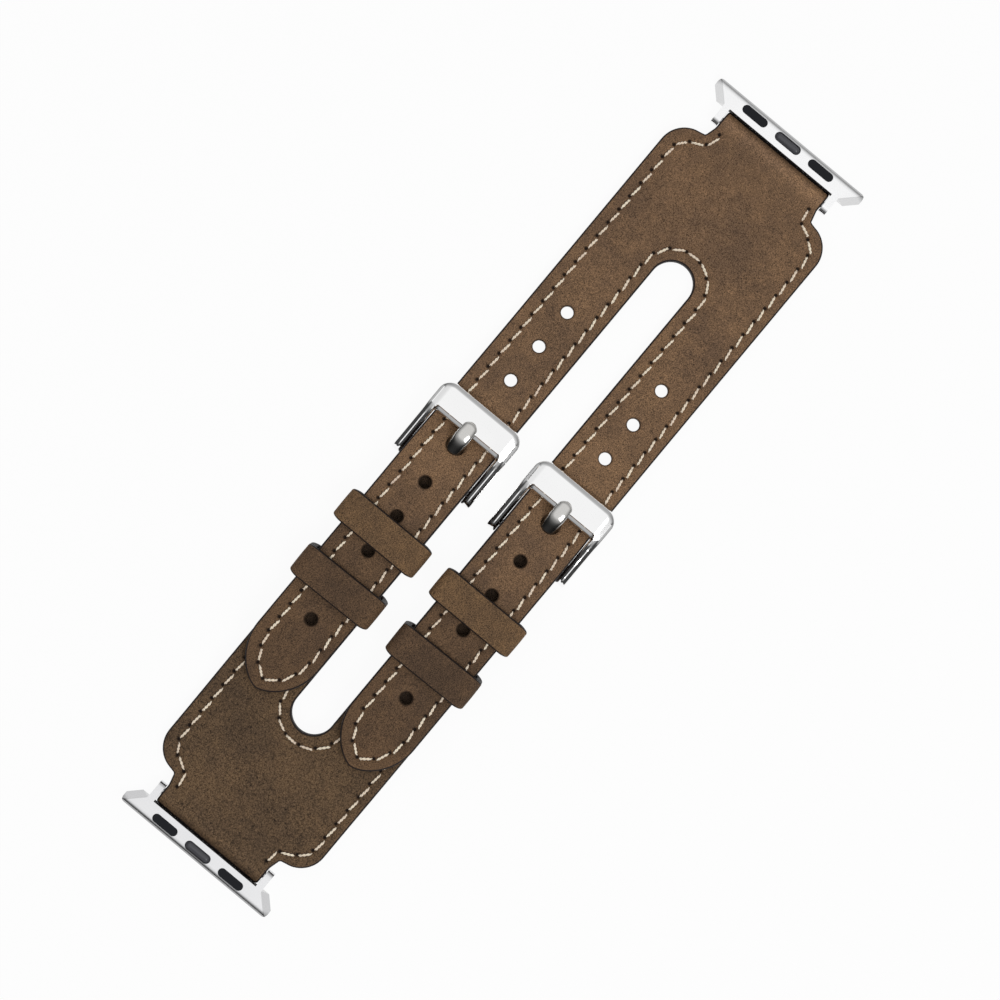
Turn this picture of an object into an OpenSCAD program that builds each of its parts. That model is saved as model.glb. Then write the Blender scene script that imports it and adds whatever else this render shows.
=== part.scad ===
// Twin strap leather watch band, closed and laid flat with its outer face up.
// Millimetres. X runs along the band, Y across it, Z up from the table.
// The tail half is at +X and the short half, with the two pin buckles, is at -X.
// Strap A is at +Y and strap B at -Y.

/* [Band] */
// Length over both adapters
band_length = 158; // [154:1:166]
// Width of the wide part of each half
body_width = 33.5; // [31:0.5:36]
// Width of the slot between the two straps
slot_width = 7.8; // [6:0.2:9.4]
// Distance from the middle of the band to the round end of each slot
slot_reach = 50.8; // [48:0.2:54]
// Radius of the shoulders where the body narrows to the neck
shoulder_radius = 4.9; // [3:0.1:5.2]
// Length from the shoulder to the axis of the adapter's spring bar
neck_length = 3.8; // [3.4:0.1:5]
// Width of the leather between the arms of the adapter
neck_width = 22; // [20:0.2:24]

/* [Leather] */
// Thickness of the upper layer
upper_thickness = 1.2; // [1:0.05:1.4]
// Thickness of the lining layer
lining_thickness = 1.0; // [0.8:0.05:1.2]
// Thickness of the skived leather that wraps an adapter's spring bar
adapter_wrap = 0.7; // [0.5:0.05:0.9]
// Thickness of the leather that wraps a buckle's spring bar
buckle_wrap = 0.8; // [0.6:0.05:1]
// Length of a turned-in end, from the spring bar's axis
turned_in = 5.4; // [4:0.2:8]

/* [Tail straps] */
// Length of the pointed end
tip_length = 8.8; // [6:0.2:11]
// Fullness of the point: 0.5 is an ellipse, more is more pointed
tip_power = 0.56; // [0.5:0.01:0.7]
// Diameter of a punched hole
hole_diameter = 2.4; // [1.8:0.1:2.8]
// Distance between holes
hole_pitch = 7.44; // [6:0.1:8]
// Number of holes in each strap
hole_count = 10; // [7:1:11]
// Number of the hole that the prong is in, counted from the body
hole_used = 5; // [5:1:6]
// Distance from the last hole to the point
tip_margin = 14.8; // [12:0.2:18]

/* [Buckle] */
// Place of the buckle's spring bar along the band
buckle_x = -2.2; // [-4:0.2:0]
// Width over the frame
frame_width = 16.8; // [16:0.1:18]
// Thickness of a side arm
frame_arm = 1.6; // [1.2:0.1:1.8]
// Radius of the eye round the spring bar's hole
frame_eye_radius = 2.0; // [1.6:0.1:2.2]
// Length of the front bar along the band
bar_length = 5.55; // [4.5:0.1:6.5]
// Thickness of the front bar
bar_thickness = 1.9; // [1.5:0.1:2.4]
// Width of the bevels along the front and the back of the bar
bar_bevel = 0.8; // [0.4:0.1:1.1]
// Drop of every bevel from the bar's flat top
bevel_drop = 0.65; // [0.3:0.05:0.9]
// Width of the bevel at each end of the bar
end_bevel = 1.9; // [1:0.1:2.4]
// Radius of the frame's corners, seen from above
frame_corner = 1.7; // [0.8:0.1:2.2]
// Width of the prong
prong_width = 2.9; // [2:0.1:3.2]
// Thickness of the prong
prong_thickness = 1.2; // [0.9:0.1:1.4]
// Angle at which the prong climbs through the strap
prong_climb = 31; // [29:0.5:33]
// Radius of the prong's bend
prong_bend = 2.4; // [1.8:0.1:3]
// How far the prong lies on the flat of the bar
prong_rest = 1.2; // [0.8:0.1:3]
// How far frame and prong together lift in the closed band, degrees
lift_angle = 8; // [4:1:10]

/* [Spring bars] */
// Diameter of the tube of a spring bar
tube_diameter = 1.5; // [1.3:0.1:1.6]
// Wall of the tube
tube_wall = 0.18; // [0.14:0.02:0.22]
// Diameter of the plunger's tip
tip_diameter = 0.8; // [0.6:0.05:0.85]
// How far a tip reaches into its arm
tip_reach = 0.9; // [0.7:0.05:1]
// Diameter of the flange that a tool holds
flange_diameter = 1.25; // [1.1:0.05:1.35]
// Thickness of the flange
flange_thickness = 0.35; // [0.25:0.05:0.5]
// Length of the plunger's head inside the tube
head_length = 1.2; // [0.8:0.1:2]

/* [Keepers] */
// Thickness of the keepers' leather
keeper_thickness = 1.3; // [1:0.05:1.5]
// Width of a keeper along the strap
keeper_width = 5.95; // [5:0.1:7]
// Place of the fixed keepers' middle along the band
fixed_keeper_x = -16.3; // [-18:0.1:-14]
// Distance between the middles of a fixed and a free keeper
keeper_spacing = 11.65; // [10:0.1:13]
// Width over a fixed keeper
fixed_keeper_span = 17.1; // [16.6:0.1:18]
// Width over a free keeper
free_keeper_span = 16.5; // [16.2:0.1:17.5]
// Length of a fixed keeper's tucked end
keeper_tuck = 3.4; // [2:0.2:4.5]

/* [Adapters] */
// Length of the slide-in plate across the band
plate_length = 31.6; // [30:0.2:33]
// Width of the plate along the band
plate_width = 3.4; // [3.2:0.1:4]
// Thickness of the plate
plate_thickness = 2.6; // [2.4:0.1:2.8]
// Radius along the plate's outer edges
plate_round = 0.95; // [0.5:0.05:1.15]
// Distance from the spring bar's axis to the plate's outer edge
pin_to_edge = 5.6; // [5.5:0.1:6.2]
// Thickness of an arm
arm_thickness = 1.25; // [1:0.05:1.5]
// Angle of the flared ends, seen from above
flare_angle = 45; // [40:1:52]
// Width of the sloped face of a flared end
flare_face = 0.95; // [0.4:0.05:1.2]
// Length of a rubber pad and of the latch button
inset_length = 5.1; // [4:0.1:5.6]
// Width of a rubber pad and of the latch button
inset_width = 1.53; // [1.2:0.05:1.6]
// Distance from the middle inset to an outer one
inset_spacing = 7.15; // [6.6:0.05:7.8]
// Distance from the plate's outer edge to the insets' middle line
inset_edge = 1.57; // [1.5:0.01:1.7]
// Depth of a pad's recess
pad_depth = 0.6; // [0.4:0.05:0.9]
// How far a pad stands out of its recess
pad_proud = 0.12; // [0.05:0.01:0.3]
// Travel of the latch button
latch_travel = 0.5; // [0.3:0.05:0.6]

/* [Hidden] */
$fn = 64;

// Clearances: sliding leather, leather beside metal, a turning or sliding metal fit, layers at rest
slide_gap = 0.1;
side_gap = 0.15;
metal_gap = 0.05;
layer_gap = 0.05;
seat_gap = 0.02;
tall = 20;

leather = upper_thickness + lining_thickness;
strap_width = (body_width - slot_width) / 2;
strap_y = (body_width + slot_width) / 4;

// Spring bars: the tube's bore, the lip that holds the plungers in, and their travel
tube_r = tube_diameter / 2;
tube_bore = tube_r - tube_wall;
tip_r = tip_diameter / 2;
lip_bore = tip_r + metal_gap;
lip_length = 0.4;
head_r = tube_bore - metal_gap;
wrap_bore = tube_r + metal_gap;
plunger_travel = tip_reach + metal_gap;
arm_hole_r = tip_r + metal_gap;
spring_wire = 0.16;

// Adapter ends
adapter_loop = wrap_bore + adapter_wrap;
pin_x = band_length / 2 - pin_to_edge;
pin_z = adapter_loop;
shoulder_x = pin_x - neck_length;
arm_inner = neck_width / 2 + side_gap;
arm_outer = arm_inner + arm_thickness;
plate_inner_x = pin_to_edge - plate_width;
plate_half = plate_thickness / 2;
inset_x = pin_to_edge - inset_edge;
inset_r = inset_width / 2;

// Length over which an end thickens towards its loop, and the flat stretch over the loop itself
end_run = 8.4;
flat_run = 0.7;

// Heights along the band: the straps are lifted by the part of a free keeper that lies under them
climb_outside = 11;
climb_inside = 5;
lifted = keeper_thickness + slide_gap;
bar_z = lifted + leather / 2;
buckle_loop = wrap_bore + buckle_wrap;
climb_start = -min(slot_reach + climb_outside, pin_x - end_run - flat_run);
climb_end = climb_inside - slot_reach;
strap_top = lifted + 2 * leather + layer_gap;

// The tail strap climbs over the buckle's loop, dips under the front bar and lands on the table
bulge_length = 6;
crest_lead = 0.8;
crest_run = 6.2;
foot_run = 8.7;
foot_drop = 1.4;
land_lead = 1.5;
land_run = 21;
crest_x = buckle_x - crest_lead;
crest_start = crest_x - crest_run;
crest_z = bar_z + buckle_loop + 2 * slide_gap;
foot_x = buckle_x + foot_run;
foot_z = bar_z - foot_drop;
land_start = foot_x + land_lead;
land_x = foot_x + land_run;

// Buckle frame, measured from its spring bar: x forward, z up
frame_inner = frame_width / 2 - frame_arm;
bar_overlap = 1.1;
bar_room = 0.4;
arm_start = 0.8;
arm_rise = 0.35;
bar_chamfer = 0.4;
bar_back = foot_run - bar_overlap;
bar_front = bar_back + bar_length;
bar_under = foot_z + leather + bar_room - bar_z;
bar_top = bar_under + bar_thickness;
bevel_z = bar_top - bevel_drop;
arm_top = min(bevel_z, frame_eye_radius + arm_rise);

// Half of a strap's width where it passes between the arms of its frame
frame_play = 0.3;
pass_half = min(strap_width / 2, frame_inner - frame_play);

// Prong: straight climb, one bend, then nearly level on to the bar
prong_level = 3;
prong_eye = 0.65;
prong_play = 0.12;
prong_ring = tube_r + metal_gap + prong_eye;
prong_knee = (bar_top + prong_thickness / 2 + seat_gap) / tan(prong_climb);
prong_turn = prong_climb - prong_level;
prong_tip = bar_back + bar_bevel + prong_rest;
prong_slot = prong_width / 2 + 2 * slide_gap;
prong_hole_x = buckle_x + 4.44;
ring_room = 1.2;

fixed_x0 = fixed_keeper_x - keeper_width / 2;
free_keeper_x = fixed_keeper_x - keeper_spacing;
keeper_top = strap_top + slide_gap;

tip_x = prong_hole_x - (hole_count - hole_used) * hole_pitch - tip_margin;

function blend(a, b, x) = let (t = min(1, max(0, (x - a) / (b - a)))) t * t * (3 - 2 * t);
function fill_steps(a, b, step) =
    let (n = max(1, ceil((b - a) / step))) [for (i = [0 : n]) a + (b - a) * i / n];

// Underside of the short half: on the table at the body, lifted along the straps
short_line = function (x) lifted * blend(climb_start, climb_end, x);
// Half of what a buckle's loop is thicker than the strap
bulge = function (x)
    (buckle_loop - leather / 2) * blend(buckle_x - bulge_length, buckle_x - flat_run, x);
short_under = function (x) short_line(x) - bulge(x);

function slope(line, x) = (line(x + 0.01) - line(x - 0.01)) / 0.02;
function upright(line, x) = sqrt(1 + pow(slope(line, x), 2));

// Underside of the tail half
tail_line = function (x)
    x < crest_x
    ? short_line(x) + leather * upright(short_line, x) + layer_gap
      + (crest_z - strap_top + leather) * blend(crest_start, crest_x, x)
    : (crest_z - foot_z) * (1 - blend(crest_x, foot_x, x))
      + foot_z * (1 - blend(land_start, land_x, x));

// What the leather gains in thickness towards an adapter's loop, at distance d from its axis
function end_gain(d) = (2 * adapter_loop - leather) * (1 - blend(flat_run, end_run, d));

// Points at a height h of the leather above a line, at the stations xs
function raised(line, h, xs) = [for (x = xs) [x, line(x) + h * upright(line, x)]];
function reversed(list) = [for (i = [len(list) - 1 : -1 : 0]) list[i]];

tail_stations = concat(
    fill_steps(tip_x, climb_end, 1.5), fill_steps(crest_start, land_start, 0.8),
    fill_steps(land_start + 1.5, land_x, 2));
tail_end_stations = concat(fill_steps(pin_x - end_run, pin_x - flat_run, 1.1), [pin_x]);
short_stations = concat(
    fill_steps(climb_start, climb_end, 1.5), [fixed_x0 - 1, fixed_x0 + keeper_width + 1]);
loop_stations = concat(
    fill_steps(buckle_x - bulge_length, buckle_x - flat_run, 0.75), [buckle_x]);
short_end_stations = concat([-pin_x], fill_steps(-pin_x + flat_run, -pin_x + end_run, 1.1));

// A side view drawn in X and Z becomes a solid across the whole width
module across(width) {
    rotate([90, 0, 0]) linear_extrude(width, center = true, convexity = 6) children();
}

// The wrap of leather round a spring bar, and the hole that the bar leaves in it
module loop_solid(x, z, r) {
    translate([x, 0, z]) rotate([90, 0, 0]) cylinder(r = r, h = body_width + 2, center = true);
}

module loop_bore(x, z) {
    loop_solid(x, z, wrap_bore);
}

module on_strap(side) {
    translate([buckle_x, side * strap_y, bar_z]) children();
}

// The adapter's own frame has its spring bar at the origin and its plate towards +X
module at_adapter(end) {
    translate([end * pin_x, 0, pin_z]) rotate([0, 0, end > 0 ? 0 : 180]) children();
}

module stadium(length, r) {
    square([length - 2 * r, 2 * r], center = true);
    for (s = [-1, 1]) translate([s * (length / 2 - r), 0]) circle(r);
}

// Pointed end of a tail strap, its apex at the origin and its root at +X
module strap_point() {
    half = pass_half;
    upper = [for (i = [1 : 16]) let (u = cos(90 * i / 16))
        [tip_length * (1 - u), half * pow(max(0, 1 - u * u), tip_power)]];
    root = tip_length + 1;
    polygon(concat([[0, 0]], upper, [[root, half], [root, -half]],
        [for (p = reversed(upper)) [p.x, -p.y]]));
}

module slab(x0, x1, half) {
    translate([x0, -half, -1]) cube([x1 - x0, 2 * half, tall]);
}

// Straps that are wider than the opening of their frame are cut to fit it, from x0 to x1
module narrowing(x0, x1) {
    spare = strap_width / 2 - pass_half;
    if (spare > 0) for (side = [-1, 1], s = [-1, 1])
        translate([(x0 + x1) / 2, side * strap_y + s * (pass_half + spare), tall / 2])
            cube([x1 - x0, 2 * spare, 2 * tall], center = true);
}

// Block with the outline of a half from above, its neck at +X, its straps reaching to strap_end
module half_block(strap_end) {
    straight_x = shoulder_x - shoulder_radius;
    neck = neck_width / 2;
    difference() {
        union() {
            slab(strap_end, straight_x, body_width / 2);
            slab(straight_x - 1, shoulder_x, body_width / 2 - shoulder_radius);
            for (s = [-1, 1]) translate([straight_x, s * (body_width / 2 - shoulder_radius), -1])
                cylinder(r = shoulder_radius, h = tall);
            translate([0, 0, -1]) linear_extrude(tall) polygon([
                [straight_x - 1, neck + 0.4], [shoulder_x + 0.2, neck + 0.4], [pin_x - 1.6, neck],
                [pin_x + adapter_loop + 1, neck], [pin_x + adapter_loop + 1, -neck],
                [pin_x - 1.6, -neck], [shoulder_x + 0.2, -neck - 0.4], [straight_x - 1, -neck - 0.4]]);
        }
        translate([slot_reach - slot_width / 2, 0, -2]) cylinder(d = slot_width, h = tall + 2);
        translate([strap_end - 1, -slot_width / 2, -2])
            cube([slot_reach - slot_width / 2 - strap_end + 1, slot_width, tall + 2]);
    }
}

module tail_block() {
    difference() {
        half_block(tip_x + tip_length - 0.02);
        narrowing(tip_x, buckle_x + bar_front + ring_room);
    }
    for (s = [-1, 1]) translate([tip_x, s * strap_y, -1]) linear_extrude(tall) strap_point();
}

module short_block() {
    difference() {
        mirror([1, 0, 0]) half_block(-(buckle_x + buckle_loop + 1));
        narrowing(buckle_x - frame_eye_radius - ring_room, buckle_x + buckle_loop + 2);
    }
}

// Ten punched holes, and in the used one the slanted way that the prong has stretched
module tail_holes() {
    for (side = [-1, 1]) {
        for (i = [1 : hole_count]) if (i != hole_used)
            translate([prong_hole_x + (hole_used - i) * hole_pitch, side * strap_y, -1])
                cylinder(d = hole_diameter, h = tall);
        on_strap(side) prong_way();
    }
}

module prong_way() {
    low = prong_thickness / 2 + prong_play;
    reach = prong_knee / cos(prong_climb) + prong_thickness;
    across(2 * prong_slot) polygon([
        [low * sin(prong_climb), -low * cos(prong_climb)],
        [reach * cos(prong_climb) + low * sin(prong_climb),
            reach * sin(prong_climb) - low * cos(prong_climb)],
        [reach * cos(prong_climb + lift_angle) - low * sin(prong_climb),
            reach * sin(prong_climb + lift_angle) + low * cos(prong_climb)],
        [-low * sin(prong_climb + lift_angle), low * cos(prong_climb + lift_angle)]]);
}

module tail_upper_side() {
    turn_x = pin_x - turned_in;
    top_body = [for (x = tail_stations) [x, tail_line(x) + leather * upright(tail_line, x)]];
    top_end = [for (x = tail_end_stations) [x, leather + end_gain(pin_x - x)]];
    seam = concat(raised(tail_line, lining_thickness, tail_stations), [[turn_x, lining_thickness]]);
    across(body_width + 2)
        polygon(concat(top_body, top_end, [[pin_x, 0], [turn_x, 0]], reversed(seam)));
    loop_solid(pin_x, pin_z, adapter_loop);
}

module tail_lining_side() {
    turn_x = pin_x - turned_in;
    seam = concat(raised(tail_line, lining_thickness, tail_stations), [[turn_x, lining_thickness]]);
    under = concat([for (x = tail_stations) [x, tail_line(x)]], [[turn_x, 0]]);
    across(body_width + 2) polygon(concat(seam, reversed(under)));
}

module tail_layer() {
    difference() {
        intersection() {
            union() children();
            tail_block();
        }
        tail_holes();
        loop_bore(pin_x, pin_z);
    }
}

module tail_upper_leather() {
    color([0.42, 0.30, 0.22]) tail_layer() tail_upper_side();
}

module tail_lining() {
    color([0.50, 0.38, 0.28]) tail_layer() tail_lining_side();
}

function short_seam() = concat(
    [[-pin_x + turned_in, lining_thickness]], raised(short_line, lining_thickness, short_stations),
    [[buckle_x - turned_in, lifted + lining_thickness]]);

module short_upper_side() {
    adapter_end = [for (x = short_end_stations) [x, leather + end_gain(x + pin_x)]];
    top = concat(adapter_end, raised(short_line, leather, short_stations),
        [for (x = loop_stations) [x, lifted + leather + bulge(x)]]);
    turn_x = buckle_x - turned_in;
    loop_under = [for (x = reversed(loop_stations)) if (x > turn_x) [x, short_under(x)]];
    across(body_width + 2) polygon(concat(top, loop_under, [[turn_x, short_under(turn_x)]],
        reversed(short_seam()), [[-pin_x + turned_in, 0], [-pin_x, 0]]));
    loop_solid(-pin_x, pin_z, adapter_loop);
    loop_solid(buckle_x, bar_z, buckle_loop);
}

module short_lining_side() {
    under = [for (x = short_stations) [x, short_under(x)]];
    last = [for (x = loop_stations) if (x < buckle_x - turned_in) [x, short_under(x)]];
    across(body_width + 2) polygon(concat(short_seam(),
        [[buckle_x - turned_in, short_under(buckle_x - turned_in)]],
        reversed(last), reversed(under), [[-pin_x + turned_in, 0]]));
}

// Room in the loop for the prong's ring, open at the front and round at the back
module ring_slots() {
    back = prong_ring + ring_room;
    for (side = [-1, 1]) translate([buckle_x, side * strap_y, -1]) {
        translate([-back, 0, 0]) cylinder(r = prong_slot, h = tall);
        translate([-back, -prong_slot, 0]) cube([back + buckle_loop + 2, 2 * prong_slot, tall]);
    }
}

module short_layer() {
    difference() {
        intersection() {
            union() children();
            short_block();
        }
        ring_slots();
        loop_bore(-pin_x, pin_z);
        loop_bore(buckle_x, bar_z);
    }
}

module short_upper_leather() {
    color([0.42, 0.30, 0.22]) short_layer() short_upper_side();
}

tuck_thickness = 0.5;
seam_z = lifted + lining_thickness;

module short_lining() {
    color([0.50, 0.38, 0.28]) difference() {
        short_layer() short_lining_side();
        for (side = [-1, 1], s = [-1, 1])
            translate([fixed_keeper_x, side * strap_y + s * (strap_width / 2 - keeper_tuck / 2 + 1),
                seam_z - tuck_thickness / 2 + 1])
                cube([keeper_width + 2 * metal_gap, keeper_tuck + 2, tuck_thickness + 2], center = true);
    }
}

module round_box(y_half, z0, z1, r) {
    for (s = [-1, 1]) {
        translate([s * (y_half - r), z0 + r]) circle(r);
        translate([s * (y_half - r), z1 - r]) circle(r);
    }
    translate([-y_half + r, z0]) square([2 * (y_half - r), z1 - z0]);
    translate([-y_half, z0 + r]) square([2 * y_half, z1 - z0 - 2 * r]);
}

// Keeper drawn in Y and Z, a band of even thickness with round corners
module keeper_band(span, z0) {
    inner = span / 2 - keeper_thickness;
    difference() {
        round_box(span / 2, z0, keeper_top + keeper_thickness, keeper_thickness + 0.4);
        round_box(inner, z0 + keeper_thickness, keeper_top, 0.4);
    }
}

module along_strap(x, side) {
    translate([x, side * strap_y, 0]) rotate([90, 0, 90])
        linear_extrude(keeper_width, center = true) children();
}

module free_keeper(side) {
    color([0.36, 0.25, 0.18]) along_strap(free_keeper_x, side) keeper_band(free_keeper_span, 0);
}

// The fixed keeper is open below: its thinned ends go in between the layers of the short strap
module fixed_keeper(side) {
    low = seam_z - tuck_thickness + seat_gap;
    side_in = strap_width / 2 + side_gap;
    color([0.40, 0.28, 0.20]) along_strap(fixed_keeper_x, side) {
        difference() {
            round_box(fixed_keeper_span / 2, low, keeper_top + keeper_thickness, keeper_thickness + 0.3);
            round_box(fixed_keeper_span / 2 - keeper_thickness, seam_z - seat_gap, keeper_top, 0.4);
            translate([-side_in, low - 1]) square([2 * side_in, 2]);
        }
        for (s = [-1, 1]) translate([s * (strap_width / 2 - keeper_tuck / 2 + 0.6), low])
            translate([-keeper_tuck / 2 - 0.5, 0])
                square([keeper_tuck + 1, tuck_thickness - 2 * seat_gap]);
    }
}

// Side view of a buckle frame's arms, arched up from the eyes to the front bar
module frame_side() {
    eye = frame_eye_radius;
    arm_low = [for (x = fill_steps(arm_start, bar_back, 0.8))
        [x, -eye + (bar_under + eye) * blend(arm_start, bar_back, x)]];
    arm_high = [for (x = fill_steps(arm_start, bar_back, 0.8))
        [x, eye + (arm_top - eye) * blend(arm_start, bar_back * 0.7, x)]];
    polygon(concat([[0, eye], [0, -eye]], arm_low,
        [[bar_front - bar_chamfer, bar_under], [bar_front, bar_under + bar_chamfer], [bar_front, bevel_z],
            [bar_front - bar_bevel, bar_top], [bar_back + bar_bevel, bar_top], [bar_back, bevel_z]],
        reversed(arm_high)));
}

// Frame from above: square eyes, round front corners
module frame_block() {
    half = frame_width / 2;
    back = -2 * frame_eye_radius;
    low = -tall / 2;
    translate([back, -half, low]) cube([bar_front - frame_corner - back, frame_width, tall]);
    translate([bar_front - 2 * frame_corner, -half + frame_corner, low])
        cube([2 * frame_corner, frame_width - 2 * frame_corner, tall]);
    for (s = [-1, 1]) translate([bar_front - frame_corner, s * (half - frame_corner), low])
        cylinder(r = frame_corner, h = tall);
}

module end_bevels() {
    half = frame_width / 2;
    for (s = [-1, 1]) rotate([90, 0, 90]) linear_extrude(2 * bar_front)
        polygon([
            [s * (half - end_bevel), bar_top], [s * (half + 0.02), bevel_z],
            [s * (half + 2), bevel_z], [s * (half + 2), bar_top + 2],
            [s * (half - end_bevel), bar_top + 2]]);
}

module buckle_frame(side) {
    color([0.80, 0.81, 0.83]) on_strap(side) difference() {
        intersection() {
            union() {
                across(frame_width + 1) frame_side();
                rotate([90, 0, 0]) cylinder(r = frame_eye_radius, h = frame_width + 1, center = true);
            }
            frame_block();
        }
        translate([-tall / 2, -frame_inner, -tall / 2])
            cube([tall / 2 + bar_back, 2 * frame_inner, tall]);
        rotate([90, 0, 0]) cylinder(r = arm_hole_r, h = frame_width + 2, center = true);
        end_bevels();
    }
}

// Stations along the prong: x, z, slope and a share of the full width
function prong_stations() =
    let (c = prong_climb, f = prong_level, r = prong_bend, half = prong_width / 2,
        climb = prong_knee / cos(c) - r * tan(prong_turn / 2),
        mid_x = climb * cos(c) + r * sin(c), mid_z = climb * sin(c) - r * cos(c),
        flat_x = mid_x - r * sin(f), flat_z = mid_z + r * cos(f),
        run = (prong_tip - flat_x) / cos(f) - half)
    concat(
        [for (d = [prong_ring / 2, climb / 2]) [d * cos(c), d * sin(c), c, 1]],
        [for (i = [0 : 6]) let (a = c - prong_turn * i / 6)
            [mid_x - r * sin(a), mid_z + r * cos(a), a, 1]],
        [for (i = [0 : 6]) let (a = 84 * i / 6, d = run + half * sin(a))
            [flat_x + d * cos(f), flat_z + d * sin(f), f, cos(a)]]);

// Round-edged bar swept along the stations, its tip round from above
module prong_shank() {
    sides = 16;
    stations = prong_stations();
    n = len(stations);
    points = [for (st = stations, j = [0 : sides - 1])
        let (a = 360 * (j + 0.5) / sides,
            y = prong_width / 2 * st[3] * sign(cos(a)) * pow(abs(cos(a)), 0.5),
            h = prong_thickness / 2 * (0.5 + st[3] / 2) * sign(sin(a)) * pow(abs(sin(a)), 0.5))
        [st[0] - h * sin(st[2]), y, st[1] + h * cos(st[2])]];
    skin = [for (i = [0 : n - 2], j = [0 : sides - 1])
        let (k = (j + 1) % sides, p = i * sides, q = p + sides)
        each [[p + j, q + j, q + k], [p + j, q + k, p + k]]];
    root = [for (j = [1 : sides - 2]) [0, j, j + 1]];
    tip = [for (j = [1 : sides - 2]) [(n - 1) * sides, (n - 1) * sides + j + 1, (n - 1) * sides + j]];
    polyhedron(points, concat(skin, root, tip), convexity = 4);
}

module prong(side) {
    color([0.74, 0.75, 0.77]) on_strap(side) difference() {
        union() {
            rotate([90, 0, 0]) cylinder(r = prong_ring, h = prong_width, center = true);
            prong_shank();
        }
        rotate([90, 0, 0]) cylinder(r = tube_r + metal_gap, h = prong_width + 1, center = true);
    }
}

// A spring bar lies along Y, between two arms whose inner faces are at +half and -half
function tube_end(half) = half - metal_gap - flange_thickness - plunger_travel - metal_gap;
function head_end(half) = tube_end(half) - lip_length - seat_gap;

module bar_tube(half) {
    reach = tube_end(half);
    color([0.66, 0.67, 0.69]) rotate([90, 0, 0]) difference() {
        cylinder(r = tube_r, h = 2 * reach, center = true);
        cylinder(r = tube_bore, h = 2 * (reach - lip_length), center = true);
        cylinder(r = lip_bore, h = 2 * reach + 1, center = true);
    }
}

// Plunger at the +Y end: tip, flange, neck and head
module bar_plunger(half) {
    head = head_end(half);
    flange = half - metal_gap - flange_thickness;
    color([0.70, 0.71, 0.73]) rotate([-90, 0, 0]) {
        translate([0, 0, head - head_length]) cylinder(r = head_r, h = head_length);
        translate([0, 0, head - 0.1]) cylinder(r = tip_r, h = half + tip_reach - head + 0.1);
        translate([0, 0, flange]) cylinder(d = flange_diameter, h = flange_thickness);
    }
}

// Round wire wound along Z on a mean radius, closed at both ends
module coil_spring(radius, wire, length, turns) {
    sides = 6;
    steps = 9;
    n = turns * steps;
    rise = length - wire;
    points = [for (i = [0 : n], j = [0 : sides - 1])
        let (a = 360 * i / steps, b = 360 * j / sides, r = radius + wire / 2 * cos(b))
        [r * cos(a), r * sin(a), wire / 2 + rise * i / n + wire / 2 * sin(b)]];
    skin = [for (i = [0 : n - 1], j = [0 : sides - 1])
        let (k = (j + 1) % sides, p = i * sides, q = p + sides)
        each [[p + j, q + k, q + j], [p + j, p + k, q + k]]];
    start = [for (j = [1 : sides - 2]) [0, j + 1, j]];
    end = [for (j = [1 : sides - 2]) [n * sides, n * sides + j, n * sides + j + 1]];
    polyhedron(points, concat(skin, start, end), convexity = 8);
}

module bar_spring(half, turns) {
    room = head_end(half) - head_length - seat_gap;
    color([0.58, 0.60, 0.62]) rotate([90, 0, 0]) translate([0, 0, -room])
        coil_spring(tube_bore - metal_gap - spring_wire / 2, spring_wire, 2 * room, turns);
}

// Distance from the spring bar's axis to where the flare leaves the arm
tip_round = 1.0;
flare_run = (plate_length / 2 - arm_outer) / tan(flare_angle);
flare_x = pin_to_edge - tip_round * (1 + tan((90 - flare_angle) / 2)) - flare_run;

// Adapter's plate from above, at its wide lower edge
module plate_block() {
    half = plate_length / 2;
    difference() {
        union() {
            translate([plate_inner_x, -half, -5]) cube([plate_width - tip_round, plate_length, 10]);
            translate([pin_to_edge - tip_round - 1, -half + tip_round, -5])
                cube([tip_round + 1, plate_length - 2 * tip_round, 10]);
            for (s = [-1, 1]) translate([pin_to_edge - tip_round, s * (half - tip_round), -5])
                cylinder(r = tip_round, h = 10);
        }
        for (s = [-1, 1]) mirror([0, s < 0 ? 1 : 0, 0]) translate([0, 0, -6]) linear_extrude(12)
            polygon([
                [flare_x, arm_outer], [flare_x + flare_run, half], [flare_x + flare_run, half + 4],
                [-10, half + 4], [-10, arm_outer]]);
    }
}

module plate_bar() {
    r = plate_round;
    translate([plate_inner_x, -plate_length / 2 - 1, -plate_half])
        cube([plate_width - r, plate_length + 2, plate_thickness]);
    translate([plate_inner_x, -plate_length / 2 - 1, -plate_half + r])
        cube([plate_width, plate_length + 2, plate_thickness - 2 * r]);
    for (s = [-1, 1]) translate([pin_to_edge - r, 0, s * (plate_half - r)])
        rotate([90, 0, 0]) cylinder(r = r, h = plate_length + 2, center = true);
}

// The faces of the flared ends lean inwards as they rise
module flare_cuts() {
    lean = atan(flare_face / plate_thickness);
    for (s = [-1, 1]) mirror([0, s < 0 ? 1 : 0, 0])
        translate([flare_x, arm_outer, -plate_half])
            rotate([0, 0, flare_angle]) rotate([lean, 0, 0])
                translate([-plate_thickness, 0, -seat_gap]) cube([tall, tall, tall]);
}

module adapter_body() {
    color([0.86, 0.86, 0.87]) difference() {
        union() {
            difference() {
                intersection() {
                    plate_bar();
                    plate_block();
                }
                flare_cuts();
            }
            for (s = [-1, 1]) translate([0, s * (arm_inner + arm_thickness / 2), 0]) {
                rotate([90, 0, 0]) cylinder(r = plate_half, h = arm_thickness, center = true);
                translate([0, -arm_thickness / 2, -plate_half])
                    cube([plate_inner_x + 1, arm_thickness, plate_thickness]);
            }
        }
        rotate([90, 0, 0]) cylinder(r = arm_hole_r, h = 2 * arm_outer + 2, center = true);
        for (s = [-1, 1]) translate([inset_x, s * inset_spacing, plate_half - pad_depth])
            inset_solid(inset_length, inset_r, 2);
        translate([inset_x, 0, 0]) latch_pocket();
    }
}

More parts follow.
